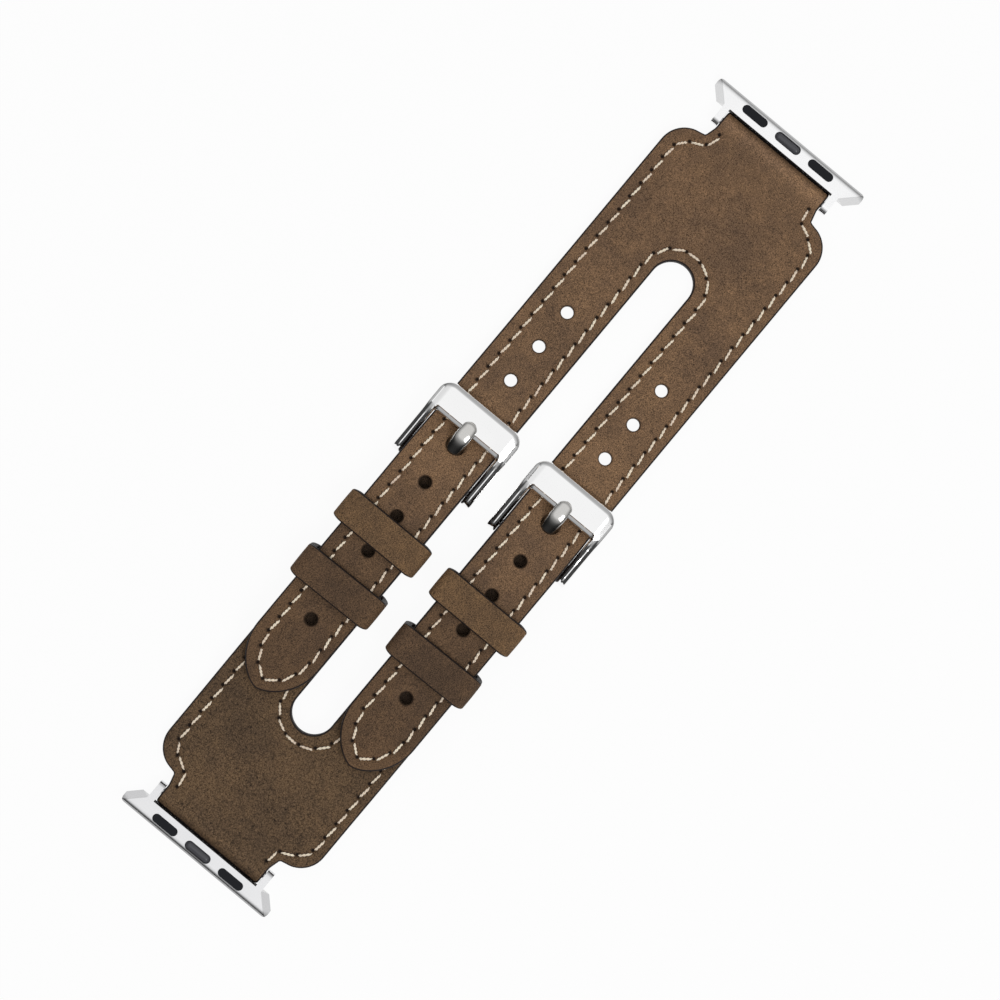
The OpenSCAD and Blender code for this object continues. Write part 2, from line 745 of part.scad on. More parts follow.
module inset_solid(length, r, h) {
    rotate([0, 0, 90]) linear_extrude(h) stadium(length, r);
}

// Latch: a flanged button in a stepped pocket, its spring, and a cover pressed in from below
latch_step = 0.6;
latch_flange = 0.35;
latch_rim = 0.22;
cover_thickness = 0.4;
dome_rise = 0.22;

module latch_pocket() {
    translate([0, 0, -3]) inset_solid(inset_length + 2 * metal_gap, inset_r + metal_gap, 6);
    translate([0, 0, -3]) inset_solid(
        inset_length + 2 * (latch_rim + metal_gap), inset_r + latch_rim + metal_gap,
        3 + plate_half - latch_step);
}

module latch_button() {
    top = plate_half;
    dome_r = (pow(inset_r * 0.8, 2) + pow(dome_rise, 2)) / (2 * dome_rise);
    color([0.10, 0.10, 0.11]) translate([inset_x, 0, 0]) {
        translate([0, 0, top - latch_step - seat_gap - latch_flange])
            inset_solid(inset_length + 2 * latch_rim, inset_r + latch_rim, latch_flange);
        translate([0, 0, top - latch_step - seat_gap - 0.05])
            inset_solid(inset_length, inset_r, latch_step + seat_gap + 0.05);
        intersection() {
            translate([0, 0, top + dome_rise - dome_r]) sphere(dome_r);
            translate([0, 0, top - 0.1]) cylinder(r = inset_r * 0.8, h = 2);
        }
    }
}

module latch_spring() {
    low = -plate_half + cover_thickness + seat_gap;
    high = plate_half - latch_step - latch_flange - 2 * seat_gap;
    color([0.58, 0.60, 0.62]) translate([inset_x, 0, low])
        coil_spring(inset_r - 0.12, 0.16, high - low, 3);
}

module latch_cover() {
    color([0.78, 0.78, 0.80]) translate([inset_x, 0, -plate_half])
        inset_solid(inset_length + 2 * (latch_rim + metal_gap) - 2 * seat_gap,
            inset_r + latch_rim + metal_gap - seat_gap, cover_thickness);
}

module rubber_pads() {
    color([0.09, 0.09, 0.10]) for (s = [-1, 1])
        translate([inset_x, s * inset_spacing, plate_half - pad_depth])
            inset_solid(inset_length - 2 * seat_gap, inset_r - seat_gap, pad_depth + pad_proud);
}

tail_upper_leather();
tail_lining();
short_upper_leather();
short_lining();
fixed_keeper(1);  // fixed_keeper_a
fixed_keeper(-1);  // fixed_keeper_b
free_keeper(1);  // free_keeper_a
free_keeper(-1);  // free_keeper_b
buckle_frame(1);  // buckle_frame_a
buckle_frame(-1);  // buckle_frame_b
prong(1);  // prong_a
prong(-1);  // prong_b
on_strap(1) bar_tube(frame_inner);  // buckle_bar_tube_a
on_strap(-1) bar_tube(frame_inner);  // buckle_bar_tube_b
on_strap(1) bar_spring(frame_inner, 12);  // buckle_bar_spring_a
on_strap(-1) bar_spring(frame_inner, 12);  // buckle_bar_spring_b
on_strap(1) bar_plunger(frame_inner);  // buckle_plunger_outer_a
on_strap(1) mirror([0, 1, 0]) bar_plunger(frame_inner);  // buckle_plunger_inner_a
on_strap(-1) mirror([0, 1, 0]) bar_plunger(frame_inner);  // buckle_plunger_outer_b
on_strap(-1) bar_plunger(frame_inner);  // buckle_plunger_inner_b
at_adapter(1) adapter_body();  // adapter_tail
at_adapter(-1) adapter_body();  // adapter_short
at_adapter(1) bar_tube(arm_inner);  // adapter_bar_tube_tail
at_adapter(-1) bar_tube(arm_inner);  // adapter_bar_tube_short
at_adapter(1) bar_spring(arm_inner, 16);  // adapter_bar_spring_tail
at_adapter(-1) bar_spring(arm_inner, 16);  // adapter_bar_spring_short
at_adapter(1) bar_plunger(arm_inner);  // adapter_plunger_a_tail
at_adapter(1) mirror([0, 1, 0]) bar_plunger(arm_inner);  // adapter_plunger_b_tail
at_adapter(-1) mirror([0, 1, 0]) bar_plunger(arm_inner);  // adapter_plunger_a_short
at_adapter(-1) bar_plunger(arm_inner);  // adapter_plunger_b_short
at_adapter(1) latch_button();  // latch_button_tail
at_adapter(-1) latch_button();  // latch_button_short
at_adapter(1) latch_spring();  // latch_spring_tail
at_adapter(-1) latch_spring();  // latch_spring_short
at_adapter(1) latch_cover();  // latch_cover_tail
at_adapter(-1) latch_cover();  // latch_cover_short
at_adapter(1) rubber_pads();  // rubber_pads_tail
at_adapter(-1) rubber_pads();  // rubber_pads_short
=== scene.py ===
"""Twin strap leather watch band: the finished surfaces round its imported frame.

X runs along the band, Y across it and Z up from the table, as in the frame.
Shapes are worked out in millimetres and put into their meshes in metres.
"""

import math

import bpy
import numpy as np
from bpy.props import FloatProperty, FloatVectorProperty, PointerProperty
from mathutils import Matrix, Vector
from mathutils.geometry import delaunay_2d_cdt


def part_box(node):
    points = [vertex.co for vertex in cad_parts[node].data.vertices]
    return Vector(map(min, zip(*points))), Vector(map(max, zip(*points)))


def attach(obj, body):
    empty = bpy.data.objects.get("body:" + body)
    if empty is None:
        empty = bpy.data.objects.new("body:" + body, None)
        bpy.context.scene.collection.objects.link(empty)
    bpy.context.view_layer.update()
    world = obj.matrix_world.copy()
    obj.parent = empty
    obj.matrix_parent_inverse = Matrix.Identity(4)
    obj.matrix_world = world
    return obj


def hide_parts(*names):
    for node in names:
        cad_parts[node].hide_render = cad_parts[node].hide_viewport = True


bl_info = {
    "name": "Twin Strap Watch Band",
    "version": (1, 0, 0),
    "blender": (4, 5, 0),
    "location": "View3D > Sidebar > Watch Band",
    "description": "Leather, stitching and polished steel for a twin strap watch band",
    "category": "Object",
}

MM = 0.001

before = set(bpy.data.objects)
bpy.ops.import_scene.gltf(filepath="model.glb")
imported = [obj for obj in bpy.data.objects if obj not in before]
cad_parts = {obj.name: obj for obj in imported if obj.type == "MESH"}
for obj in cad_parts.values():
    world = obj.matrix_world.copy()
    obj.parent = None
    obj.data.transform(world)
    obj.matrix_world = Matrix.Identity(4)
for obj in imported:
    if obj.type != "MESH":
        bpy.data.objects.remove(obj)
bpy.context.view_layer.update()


def middle(node):
    """The middle of a node's box, in millimetres."""
    low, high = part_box(node)
    return np.array(low + high) / 2 / MM


# Places that the frame gives: the spring bars of the adapters and of the buckles
PIN_X, _, PIN_Z = middle("adapter_bar_tube_tail")
BAR_X, STRAP_Y, BAR_Z = middle("buckle_bar_tube_a")
TIP_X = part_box("tail_upper_leather")[0].x / MM
EDGE_SWELL = 0.15
BODY_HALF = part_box("tail_upper_leather")[1].y / MM + EDGE_SWELL
STRAP_HALF = BODY_HALF - STRAP_Y
SLOT_HALF = STRAP_Y - STRAP_HALF

# Leather, in the sizes that the solids have
UPPER = 1.2
LINING = 1.0
LEATHER = UPPER + LINING
BORE_R = 0.8
ADAPTER_LOOP_R = 1.5
BUCKLE_LOOP_R = 1.6
TURNED_IN = 5.4
FOLD_SAG = 0.68
FOLD_LOW = 1.73
NECK_HALF = 11.0
NECK_FLARE = 0.4
PLATE_WALL = PIN_X + 2.21
SHOULDER_X = 69.6
SHOULDER_R = 4.9
CUT_CORNER = 0.7
SLOT_X = 46.9
TIP_LENGTH = 8.8
TIP_POWER = 0.64
HOLE_R = 1.08
HOLE_PITCH = 7.44
HOLE_COUNT = 10
USED_HOLE = 5
USED_HOLE_X = BAR_X + 4.44

# Heights along the band
LIFTED = 1.4
LAYER_GAP = 0.05
CLIMB_START = -61.8
CLIMB_END = -45.8
CREST_X = BAR_X - 0.8
CREST_START = CREST_X - 6.2
CREST_Z = BAR_Z + BUCKLE_LOOP_R + 0.2
STRAP_TOP = LIFTED + 2 * LEATHER + LAYER_GAP
FOOT_X = BAR_X + 8.7
FOOT_Z = BAR_Z - 1.4
LAND_START = FOOT_X + 1.5
LAND_X = FOOT_X + 21.0
BULGE_LENGTH = 6.0
END_RUN = 8.4
FLAT_RUN = 0.7
OPENING_RUN = 2.6


def colour_field(name, description, default):
    return FloatVectorProperty(
        name=name, description=description, subtype="COLOR", size=3, min=0, max=1, default=default)


def length_field(name, description, default, low, high):
    return FloatProperty(
        name=name, description=description, unit="LENGTH", default=default, min=low, max=high)


class BandLook(bpy.types.PropertyGroup):
    """Colours of the leather and its thread."""

    tail_leather: colour_field(
        "Tail leather", "Leather of the half with the pointed straps", (0.180, 0.107, 0.060))
    short_leather: colour_field(
        "Short leather", "Leather of the half that carries the buckles", (0.120, 0.075, 0.042))
    fixed_keeper: colour_field(
        "Fixed keepers", "Leather of the keepers beside the buckles", (0.154, 0.091, 0.046))
    # Darker than the fixed keepers: painted shade of the sliding keepers' tops, which lean away
    # from the light.
    free_keeper: colour_field(
        "Free keepers", "Leather of the sliding keepers", (0.101, 0.060, 0.034))
    edge_paint: colour_field(
        "Edge paint", "Burnished and painted edges of the leather", (0.016, 0.011, 0.010))
    thread: colour_field("Thread", "Waxed sewing thread", (1.0, 0.80, 0.64))


class StitchSizes(bpy.types.PropertyGroup):
    """Sizes of the stitching."""

    pitch: length_field("Pitch", "Distance between two awl holes", 2.9 * MM, 2 * MM, 5 * MM)
    thread_radius: length_field(
        "Ply radius", "Radius of one of the two plies", 0.132 * MM, 0.05 * MM, 0.3 * MM)


class StageSettings(bpy.types.PropertyGroup):
    """The camera over the band."""

    camera_height: length_field(
        "Camera height", "Height of the camera over the table", 0.45, 0.2, 2)
    view_width: length_field(
        "View width", "Width of table that the picture shows", 0.168, 0.05, 1)
    view_turn: FloatProperty(
        name="View turn", description="Angle of the band in the picture",
        subtype="ANGLE", default=math.radians(50.22), min=-math.pi, max=math.pi)


def step(a, b, x):
    """Smooth step from 0 at a to 1 at b: t squared times (3 - 2t)."""
    t = np.clip((x - a) / (b - a), 0, 1)
    return t * t * (3 - 2 * t)


def bump(distance, width):
    """1 at distance 0, falling like a bell to nearly 0 at twice the width."""
    return np.exp(-((distance / width) ** 2))


def points_of(*coordinates):
    """Points from their coordinates, where a single number holds for all of them."""
    return np.stack(np.broadcast_arrays(*coordinates), axis=-1)


def upright(line, x):
    """How much taller a layer stands where its line slopes: root of 1 + slope squared."""
    slope = (line(x + 0.01) - line(x - 0.01)) / 0.02
    return np.sqrt(1 + slope**2)


def short_line(x):
    """Underside of the short half: on the table at the body, lifted along the straps."""
    return LIFTED * step(CLIMB_START, CLIMB_END, x)


def bulge(x):
    """Half of what a buckle's loop is thicker than the strap."""
    return (BUCKLE_LOOP_R - LEATHER / 2) * step(BAR_X - BULGE_LENGTH, BAR_X - FLAT_RUN, x)


def tail_line(x):
    """Underside of the tail half: over the buckle's loop, under its bar, then on the table."""
    over = short_line(x) + LEATHER * upright(short_line, x) + LAYER_GAP
    over = over + (CREST_Z - STRAP_TOP + LEATHER) * step(CREST_START, CREST_X, x)
    under = (CREST_Z - FOOT_Z) * (1 - step(CREST_X, FOOT_X, x))
    under = under + FOOT_Z * (1 - step(LAND_START, LAND_X, x))
    return np.where(x < CREST_X, over, under)


def end_gain(distance):
    """What the leather gains in thickness towards an adapter's loop."""
    return (2 * ADAPTER_LOOP_R - LEATHER) * (1 - step(FLAT_RUN, END_RUN, distance))


class Wrap:
    """A leather layer laid along a side view.

    A flat pattern point (u, y) and a share w of the thickness, 0 inside and 1 outside, become
    the point inner(u) + w (outer(u) - inner(u)) of the side view, at y across the band.
    """

    def __init__(self, *runs):
        u, outer_x, outer_z, inner_x, inner_z = np.concatenate(runs, axis=1)
        order = np.argsort(u, kind="stable")
        keep = np.concatenate([[True], np.diff(u[order]) > 1e-4])
        self.u = u[order][keep]
        self.sides = np.stack([outer_x, outer_z, inner_x, inner_z])[:, order][:, keep]

    def place(self, flat, w=1.0, relief=0.0):
        """Points of the pattern in space. The relief is added to the outer side, in millimetres."""
        ox, oz, ix, iz = (np.interp(flat[:, 0], self.u, side) for side in self.sides)
        share = w + relief / np.hypot(ox - ix, oz - iz)
        return points_of(ix + share * (ox - ix), flat[:, 1], iz + share * (oz - iz))


def straight_run(x, outer_z, inner_z):
    return np.stack([x, x, outer_z, x, inner_z])


def loop_run(x, z, outer_r, inner_r, way, sag=0.0):
    """Half turn round a spring bar at x, z, with the pattern at its mean radius; way is 1 or -1.

    The fold sags: its outer radius grows by a bell curve of the turn, below the bar's level.
    """
    turn = np.linspace(0, math.pi, 60)
    u = x + way * turn * (outer_r + inner_r) / 2
    side, up = way * np.sin(turn), np.cos(turn)
    outer_r = outer_r + sag * bump(turn - FOLD_LOW, 0.37)
    return np.stack([u, x + outer_r * side, z + outer_r * up, x + inner_r * side, z + inner_r * up])


def flap_run(x, outer_r, inner_r, way, under, seam, low):
    """The turned-in end: back from the loop at x along the line under, closed on the seam."""
    back = np.linspace(0, TURNED_IN, 50)
    at = x - way * back
    u = x + way * (math.pi * (outer_r + inner_r) / 2 + back)
    top = seam - 0.02 - (seam - 0.02 - low) * (1 - step(0, OPENING_RUN, back))
    return np.stack([u, at, under(at), at, top])


def tail_upper_wrap():
    x = np.arange(TIP_X - 1, PIN_X, 0.1)
    line = tail_line(x)
    rise = upright(tail_line, x)
    inner = line + LINING * rise + (PIN_Z + BORE_R - LINING) * step(PIN_X - OPENING_RUN, PIN_X, x)
    outer = line + LEATHER * rise + end_gain(PIN_X - x)
    return Wrap(
        straight_run(x, outer, inner),
        loop_run(PIN_X, PIN_Z, ADAPTER_LOOP_R, BORE_R, 1, FOLD_SAG),
        flap_run(PIN_X, ADAPTER_LOOP_R, BORE_R, 1, np.zeros_like, LINING, PIN_Z - BORE_R))


def tail_lining_wrap():
    x = np.arange(TIP_X - 1, PIN_X, 0.1)
    line = tail_line(x)
    return Wrap(straight_run(x, line + LINING * upright(tail_line, x), line))


def short_upper_wrap():
    x = np.arange(-PIN_X, BAR_X, 0.1)
    rise = upright(short_line, x)
    seam = LIFTED + LINING
    inner = short_line(x) + LINING * rise
    inner = inner + (PIN_Z + BORE_R - LINING) * step(PIN_X - OPENING_RUN, PIN_X, -x)
    inner = inner + (BAR_Z + BORE_R - seam) * step(BAR_X - OPENING_RUN, BAR_X, x)
    outer = short_line(x) + LEATHER * rise + end_gain(x + PIN_X) + bulge(x)
    return Wrap(
        straight_run(x, outer, inner),
        loop_run(-PIN_X, PIN_Z, ADAPTER_LOOP_R, BORE_R, -1, FOLD_SAG),
        flap_run(-PIN_X, ADAPTER_LOOP_R, BORE_R, -1, np.zeros_like, LINING, PIN_Z - BORE_R),
        loop_run(BAR_X, BAR_Z, BUCKLE_LOOP_R, BORE_R, 1),
        flap_run(
            BAR_X, BUCKLE_LOOP_R, BORE_R, 1, lambda at: LIFTED - bulge(at), seam, BAR_Z - BORE_R))


def short_lining_wrap():
    x = np.arange(-PIN_X, BAR_X, 0.1)
    line = short_line(x)
    return Wrap(straight_run(x, line + LINING * upright(short_line, x), line - bulge(x)))


# Plans of the layers, seen from above. Outlines run anticlockwise and holes clockwise, so that
# the leather always lies to the left of its edge.

OUTLINE_STEP = 0.4
SLOT_STEP = 0.3


def arc(x, y, radius, start, end, count=24):
    """Points of a circle's arc, from one angle to another in degrees."""
    turn = np.radians(np.linspace(start, end, count))
    return points_of(x + radius * np.cos(turn), y + radius * np.sin(turn))


def tip_curve(start, length, half, y, count):
    """Pointed end, from its outer edge round the point: half width times sin to twice the power."""
    turn = np.radians(np.linspace(90, -90, count))
    across = np.sign(turn) * half * np.abs(np.sin(turn)) ** (2 * TIP_POWER)
    return points_of(start + length * (1 - np.cos(turn)), y + across)


def mirrored(points):
    """The same line on the other side of the band, run the other way."""
    return (points * [1, -1])[::-1]


def lengths_along(points):
    """Length of a line from its start to each of its points."""
    return np.concatenate([[0], np.cumsum(np.hypot(*np.diff(points, axis=0).T))])


def at_lengths(points, lengths, at):
    """Points of a line at given lengths from its start."""
    return points_of(*(np.interp(at, lengths, points[:, k]) for k in (0, 1)))


def resampled(points, spacing, closed=True):
    """Points at even steps along a line, eight of them at least."""
    if closed:
        points = np.concatenate([points, points[:1]])
    lengths = lengths_along(points)
    count = max(8, int(round(lengths[-1] / spacing)))
    at = np.linspace(0, lengths[-1], count + 1)
    return at_lengths(points, lengths, at[:-1] if closed else at)


def body_edge(neck_end):
    """Edge at +Y from the end of the neck, round the shoulder, to the straight side."""
    shoulder = arc(SHOULDER_X - SHOULDER_R, BODY_HALF - SHOULDER_R, SHOULDER_R, 0, 90)[2:]
    if neck_end < SHOULDER_X:
        return np.minimum(shoulder, [neck_end, BODY_HALF])
    neck = NECK_HALF + NECK_FLARE
    return np.concatenate([
        arc(neck_end - CUT_CORNER, NECK_HALF - CUT_CORNER, CUT_CORNER, 0, 90),
        [[PIN_X - 1.6, NECK_HALF], [SHOULDER_X + 0.8, neck], [SHOULDER_X + 0.2, neck + 0.15]],
        shoulder])


def tail_outline(neck_end):
    tip = tip_curve(TIP_X, TIP_LENGTH, STRAP_HALF, STRAP_Y, 61)
    upper = np.concatenate([body_edge(neck_end), tip, arc(SLOT_X, 0, SLOT_HALF, 90, 0)])
    return resampled(np.concatenate([upper, mirrored(upper)]), OUTLINE_STEP)


def short_outline(neck_end, strap_end):
    """The short half at -X: its straps end at strap_end, in the pattern's own length."""
    upper = np.concatenate([
        arc(-SLOT_X, 0, SLOT_HALF, 180, 90),
        arc(strap_end - CUT_CORNER, SLOT_HALF + CUT_CORNER, CUT_CORNER, -90, 0),
        arc(strap_end - CUT_CORNER, BODY_HALF - CUT_CORNER, CUT_CORNER, 0, 90),
        body_edge(neck_end)[::-1] * [-1, 1]])
    return resampled(np.concatenate([upper, mirrored(upper)]), OUTLINE_STEP)


def hole_loop(x, y, half_length, half_width, count=32):
    """Oval hole, run clockwise."""
    turn = -np.linspace(0, 2 * math.pi, count, endpoint=False)
    return points_of(x + half_length * np.cos(turn), y + half_width * np.sin(turn))


def slot_loop(start, end, y, half_width):
    """Slot with round ends, run clockwise."""
    return resampled(np.concatenate([
        arc(start + half_width, y, half_width, 270, 90),
        arc(end - half_width, y, half_width, 90, -90)]), SLOT_STEP)


def square_slot(start, end, y, half_width, corner):
    """Slot with square ends and small round corners, run clockwise."""
    low, high = y - half_width + corner, y + half_width - corner
    start, end = start + corner, end - corner
    return resampled(np.concatenate([
        arc(start, low, corner, 270, 180, 6), arc(start, high, corner, 180, 90, 6),
        arc(end, high, corner, 90, 0, 6), arc(end, low, corner, 0, -90, 6)]), SLOT_STEP)


# Openings that the prong has stretched: middle, half length, at the outside, seam and underside
PRONG_OUTSIDE = (2.95, 1.5)
PRONG_SEAM = (1.35, 1.15)
PRONG_UNDERSIDE = (0.35, 1.15)
PRONG_HOLE_HALF = 1.6
RING_BACK = 1.7


def punched_places():
    """Middles of the punched holes of both straps."""
    x = USED_HOLE_X + (USED_HOLE - np.arange(1, HOLE_COUNT + 1)) * HOLE_PITCH
    return np.concatenate([points_of(x, y) for y in (-STRAP_Y, STRAP_Y)])


def tail_holes(outside, inside):
    """Punched holes of both straps as pairs of loops, at the outer and the inner side."""
    pairs = []
    for x, y in punched_places():
        if x == USED_HOLE_X:
            pairs.append([
                hole_loop(at, y, half, PRONG_HOLE_HALF, 48) for at, half in (outside, inside)])
        else:
            pairs.append([hole_loop(x, y, HOLE_R, HOLE_R)] * 2)
    return pairs


def unit(vectors):
    return vectors / np.linalg.norm(vectors, axis=-1)[..., None]


def to_left(along):
    """Directions turned a quarter to the left."""
    return points_of(-along[:, 1], along[:, 0])


def left_normals(loop):
    """Unit normals to the left of a closed line."""
    return to_left(unit(np.roll(loop, -1, axis=0) - np.roll(loop, 1, axis=0)))


def inside_loops(points, loops):
    """Even-odd rule: inside is where a ray towards +X crosses the loops an odd number of times."""
    crossings = np.zeros(len(points), int)
    px, py = points[:, 0][:, None], points[:, 1][:, None]
    for loop in loops:
        a, b = loop, np.roll(loop, -1, axis=0)
        across = (a[:, 1] > py) != (b[:, 1] > py)
        rise = np.where(b[:, 1] == a[:, 1], 1e-12, b[:, 1] - a[:, 1])
        at = a[:, 0] + (py - a[:, 1]) * (b[:, 0] - a[:, 0]) / rise
        crossings += (across & (px < at)).sum(axis=1)
    return crossings % 2 == 1


# How many points a distance is worked out for at once
AT_ONCE = 2000


def distance_to(points, line, closed=False):
    """Least distance from each point to a line of segments."""
    a = line if closed else line[:-1]
    b = np.roll(line, -1, axis=0) if closed else line[1:]
    best = np.empty(len(points))
    for start in range(0, len(points), AT_ONCE):
        p = points[start:start + AT_ONCE, None]
        t = ((p - a) * (b - a)).sum(-1) / ((b - a) ** 2).sum(-1)
        foot = a + np.clip(t, 0, 1)[..., None] * (b - a)
        best[start:start + AT_ONCE] = np.sqrt(((p - foot) ** 2).sum(-1).min(axis=1))
    return best


def nearest(points, targets):
    """Distance from each point to the nearest of a set of points, endless for an empty set."""
    best = np.full(len(points), np.inf)
    for start in range(0, len(points) if len(targets) else 0, AT_ONCE):
        gap = points[start:start + AT_ONCE, None] - targets
        best[start:start + AT_ONCE] = np.sqrt((gap**2).sum(-1)).min(axis=1)
    return best


# Shares of a net's spacing: between its rows, and kept clear of edges and of extra points
ROW_SHARE = 0.87
EDGE_SHARE = 0.45
EXTRA_SHARE = 0.4
NO_POINTS = np.empty((0, 2))


def fill(rings, spacing, extra=NO_POINTS):
    """Triangles over the plan between closed rings, with a net of points inside them.

    Returns the inner points and the triangles, which number the ring points first.
    """
    low, high = rings[0].min(axis=0), rings[0].max(axis=0)
    gx, gy = np.meshgrid(
        np.arange(low[0], high[0], spacing), np.arange(low[1], high[1], spacing * ROW_SHARE))
    gx = gx + (np.arange(gx.shape[0]) % 2)[:, None] * spacing / 2
    grid = points_of(gx.ravel(), gy.ravel())
    grid = grid[inside_loops(grid, rings)]
    clear = np.min([distance_to(grid, ring, True) for ring in rings], axis=0)
    grid = grid[clear > spacing * EDGE_SHARE]
    grid = np.concatenate([grid[nearest(grid, extra) > spacing * EXTRA_SHARE], extra])
    edges, first = [], 0
    for ring in rings:
        at = first + np.arange(len(ring))
        edges.append(np.stack([at, np.roll(at, -1)], axis=1))
        first += len(ring)
    points = np.concatenate([*rings, grid])
    found = delaunay_2d_cdt(points.tolist(), np.concatenate(edges).tolist(), [], 0, 1e-7, False)
    if len(found[0]) != len(points):
        raise RuntimeError("the outline of a leather layer crosses itself")
    triangles = np.array([face for face in found[2] if len(face) == 3])
    centres = points[triangles].mean(axis=1)
    return grid, triangles[inside_loops(centres, rings)]


def mesh_from(name, points, face_sets, attributes=None):
    """A smooth mesh from points in millimetres and arrays of triangles and quads."""
    corners = np.concatenate([faces.ravel() for faces in face_sets])
    sizes = np.concatenate([np.full(len(faces), faces.shape[1]) for faces in face_sets])
    starts = np.concatenate([[0], np.cumsum(sizes)[:-1]])
    mesh = bpy.data.meshes.new(name)
    mesh.vertices.add(len(points))
    mesh.vertices.foreach_set("co", (np.asarray(points) * MM).astype(np.float32).ravel())
    mesh.loops.add(len(corners))
    mesh.loops.foreach_set("vertex_index", corners.astype(np.int32))
    mesh.polygons.add(len(sizes))
    mesh.polygons.foreach_set("loop_start", starts.astype(np.int32))
    mesh.polygons.foreach_set("use_smooth", np.ones(len(sizes), bool))
    mesh.update(calc_edges=True)
    for key, values in (attributes or {}).items():
        layer = mesh.attributes.new(key, "FLOAT", "POINT")
        layer.data.foreach_set("value", np.asarray(values, np.float32))
    if mesh.validate():
        raise RuntimeError(f"the mesh of {name} has faces that don't fit together")
    return mesh


def ring_quads(rows, columns, outward=True, closed=False):
    """Quads between neighbouring rings of points, each ring with as many points as columns."""
    row = np.arange(rows if closed else rows - 1)[:, None] * columns
    after = (row + columns) % (rows * columns)
    k = np.arange(columns)[None]
    right = (k + 1) % columns
    corners = [row + k, row + right, after + right, after + k]
    if not outward:
        corners = [corners[0], *corners[:0:-1]]
    return np.stack(corners, axis=-1).reshape(-1, 4)


def tube_faces(rows, columns, outward=True):
    """The quads of a tube and its two end faces."""
    ring = np.arange(columns)[None]
    first, last = ring, ring + (rows - 1) * columns
    caps = [first[:, ::-1], last] if outward else [first, last[:, ::-1]]
    return [ring_quads(rows, columns, outward), *caps]


def new_piece(name, mesh, materials, body="root", stands_for=()):
    """A finished piece that rides on a body and may stand for frame nodes."""
    piece = bpy.data.objects.new(name, mesh)
    bpy.context.scene.collection.objects.link(piece)
    for material in materials:
        mesh.materials.append(material)
    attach(piece, body)
    if stands_for:
        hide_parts(*stands_for)
    return piece


# How much paint the wall of a punched hole takes
RAW_HOLE = 0.5

# Side of a cut layer, from its outer face to its inner one: inset from the edge, depth, paint
UPPER_SIDE = [(0.46, 0.0, 0.0), (0.32, 0.03, 0.3), (0.17, 0.10, 0.95), (0.05, 0.22, 1.0),
              (0.0, 0.42, 1.0), (0.0, 1.08, 1.0), (0.05, 1.17, 1.0), (0.12, 1.2, 1.0)]
LINING_SIDE = [(0.12, 0.0, 1.0), (0.05, 0.03, 1.0), (0.0, 0.12, 1.0), (0.0, 0.74, 1.0),
               (0.05, 0.88, 1.0), (0.16, 0.96, 0.7), (0.30, 1.0, 0.1)]


# Nets that fill a layer's faces: where it shows, where it doesn't, and round a folded end
FINE_NET = 0.5
COARSE_NET = 1.6
FOLD_NET_X = (-0.7, 4.6, 0.13)
FOLD_NET_Y = 0.7

# Awl holes, and the circles of points round each
AWL_RIM = 0.42
CIRCLE_8 = np.arange(8) * math.pi / 4
AWL_RINGS = ((AWL_RIM, CIRCLE_8), (AWL_RIM * 0.55, CIRCLE_8 + 0.39), (0.0, np.zeros(1)))

# Black painted shade on a folded end, by its length past the spring bar: it darkens the slit
# between the fold and the adapter's plate
FOLD_SHADE = (1.4, 1.7, 4.2, 5.0)


def leather_layer(name, wrap, outline, holes, side, outer_shows, relief, awl_holes, marks):
    """A cut layer of leather with rounded, painted edges round its outline and its holes.

    Rings of points stand at each inset from every edge, down the side; a fine net fills the face
    that shows, the outer or the inner one, and a coarse net the face that doesn't.
    """
    loops = [(outline, outline), *holes]
    total = side[-1][1]
    rings, paints, shares = [], [], []
    for inset, depth, paint in side:
        share = 1 - depth / total
        for number, (outer, inner) in enumerate(loops):
            loop = inner + share * (outer - inner)
            rings.append(loop + inset * left_normals(loop))
            paints.append(np.full(len(loop), paint if number == 0 else paint * RAW_HOLE))
            shares.append(np.full(len(loop), share))
    count = len(loops)
    first, last = rings[:count], rings[-count:]
    pits = np.concatenate([
        awl_holes[:, None] + radius * points_of(np.cos(ring), np.sin(ring))
        for radius, ring in AWL_RINGS], axis=1).reshape(-1, 2)
    end = math.copysign(1, outline[np.argmax(np.abs(outline[:, 0])), 0])
    u, y = np.meshgrid(
        np.arange(*FOLD_NET_X), np.arange(-NECK_HALF + 0.6, NECK_HALF - 0.5, FOLD_NET_Y))
    fold = points_of(end * (PIN_X + u.ravel()), y.ravel())
    fold = fold[inside_loops(fold, first[:1])]
    nets = {True: (FINE_NET, np.concatenate([pits, fold])), False: (COARSE_NET, fold)}
    outer_grid, outer_faces = fill(first, *nets[outer_shows])
    inner_grid, inner_faces = fill(last, *nets[not outer_shows])

    flat = np.concatenate([*rings, outer_grid, inner_grid])
    w = np.concatenate([*shares, np.ones(len(outer_grid)), np.zeros(len(inner_grid))])
    paint = np.concatenate([*paints, np.zeros(len(outer_grid) + len(inner_grid))])
    points = wrap.place(flat, w, relief(flat) * (w**3 if outer_shows else -((1 - w) ** 3)))

    sizes = [len(loop) for loop, _ in loops]
    starts = np.concatenate([[0], np.cumsum(sizes * len(side))])
    sides = []
    for level in range(len(side) - 1):
        for k, size in enumerate(sizes):
            a = starts[level * count + k] + np.arange(size)
            b = starts[(level + 1) * count + k] + np.arange(size)
            sides.append(np.stack([a, b, np.roll(b, -1), np.roll(a, -1)], axis=1))
    ring_total = sum(sizes)
    outer_start = starts[-1]
    inner_start = outer_start + len(outer_grid)
    outer_faces = outer_faces + (outer_faces >= ring_total) * (outer_start - ring_total)
    last_start = starts[(len(side) - 1) * count]
    inner_faces = np.where(
        inner_faces < ring_total, inner_faces + last_start, inner_faces - ring_total + inner_start)
    # Edge paint, and black painted shade on the folded end, which darkens the slit at the adapter.
    past = np.abs(flat[:, 0]) - PIN_X
    paint = np.maximum(paint, step(*FOLD_SHADE[:2], past) * (1 - step(*FOLD_SHADE[2:], past)))
    attributes = {"paint": paint, **{key: values(flat) for key, values in marks.items()}}
    return mesh_from(name, points, [*sides, outer_faces, inner_faces[:, ::-1]], attributes)


# Stitching: paths in plan, two millimetres inside the edge

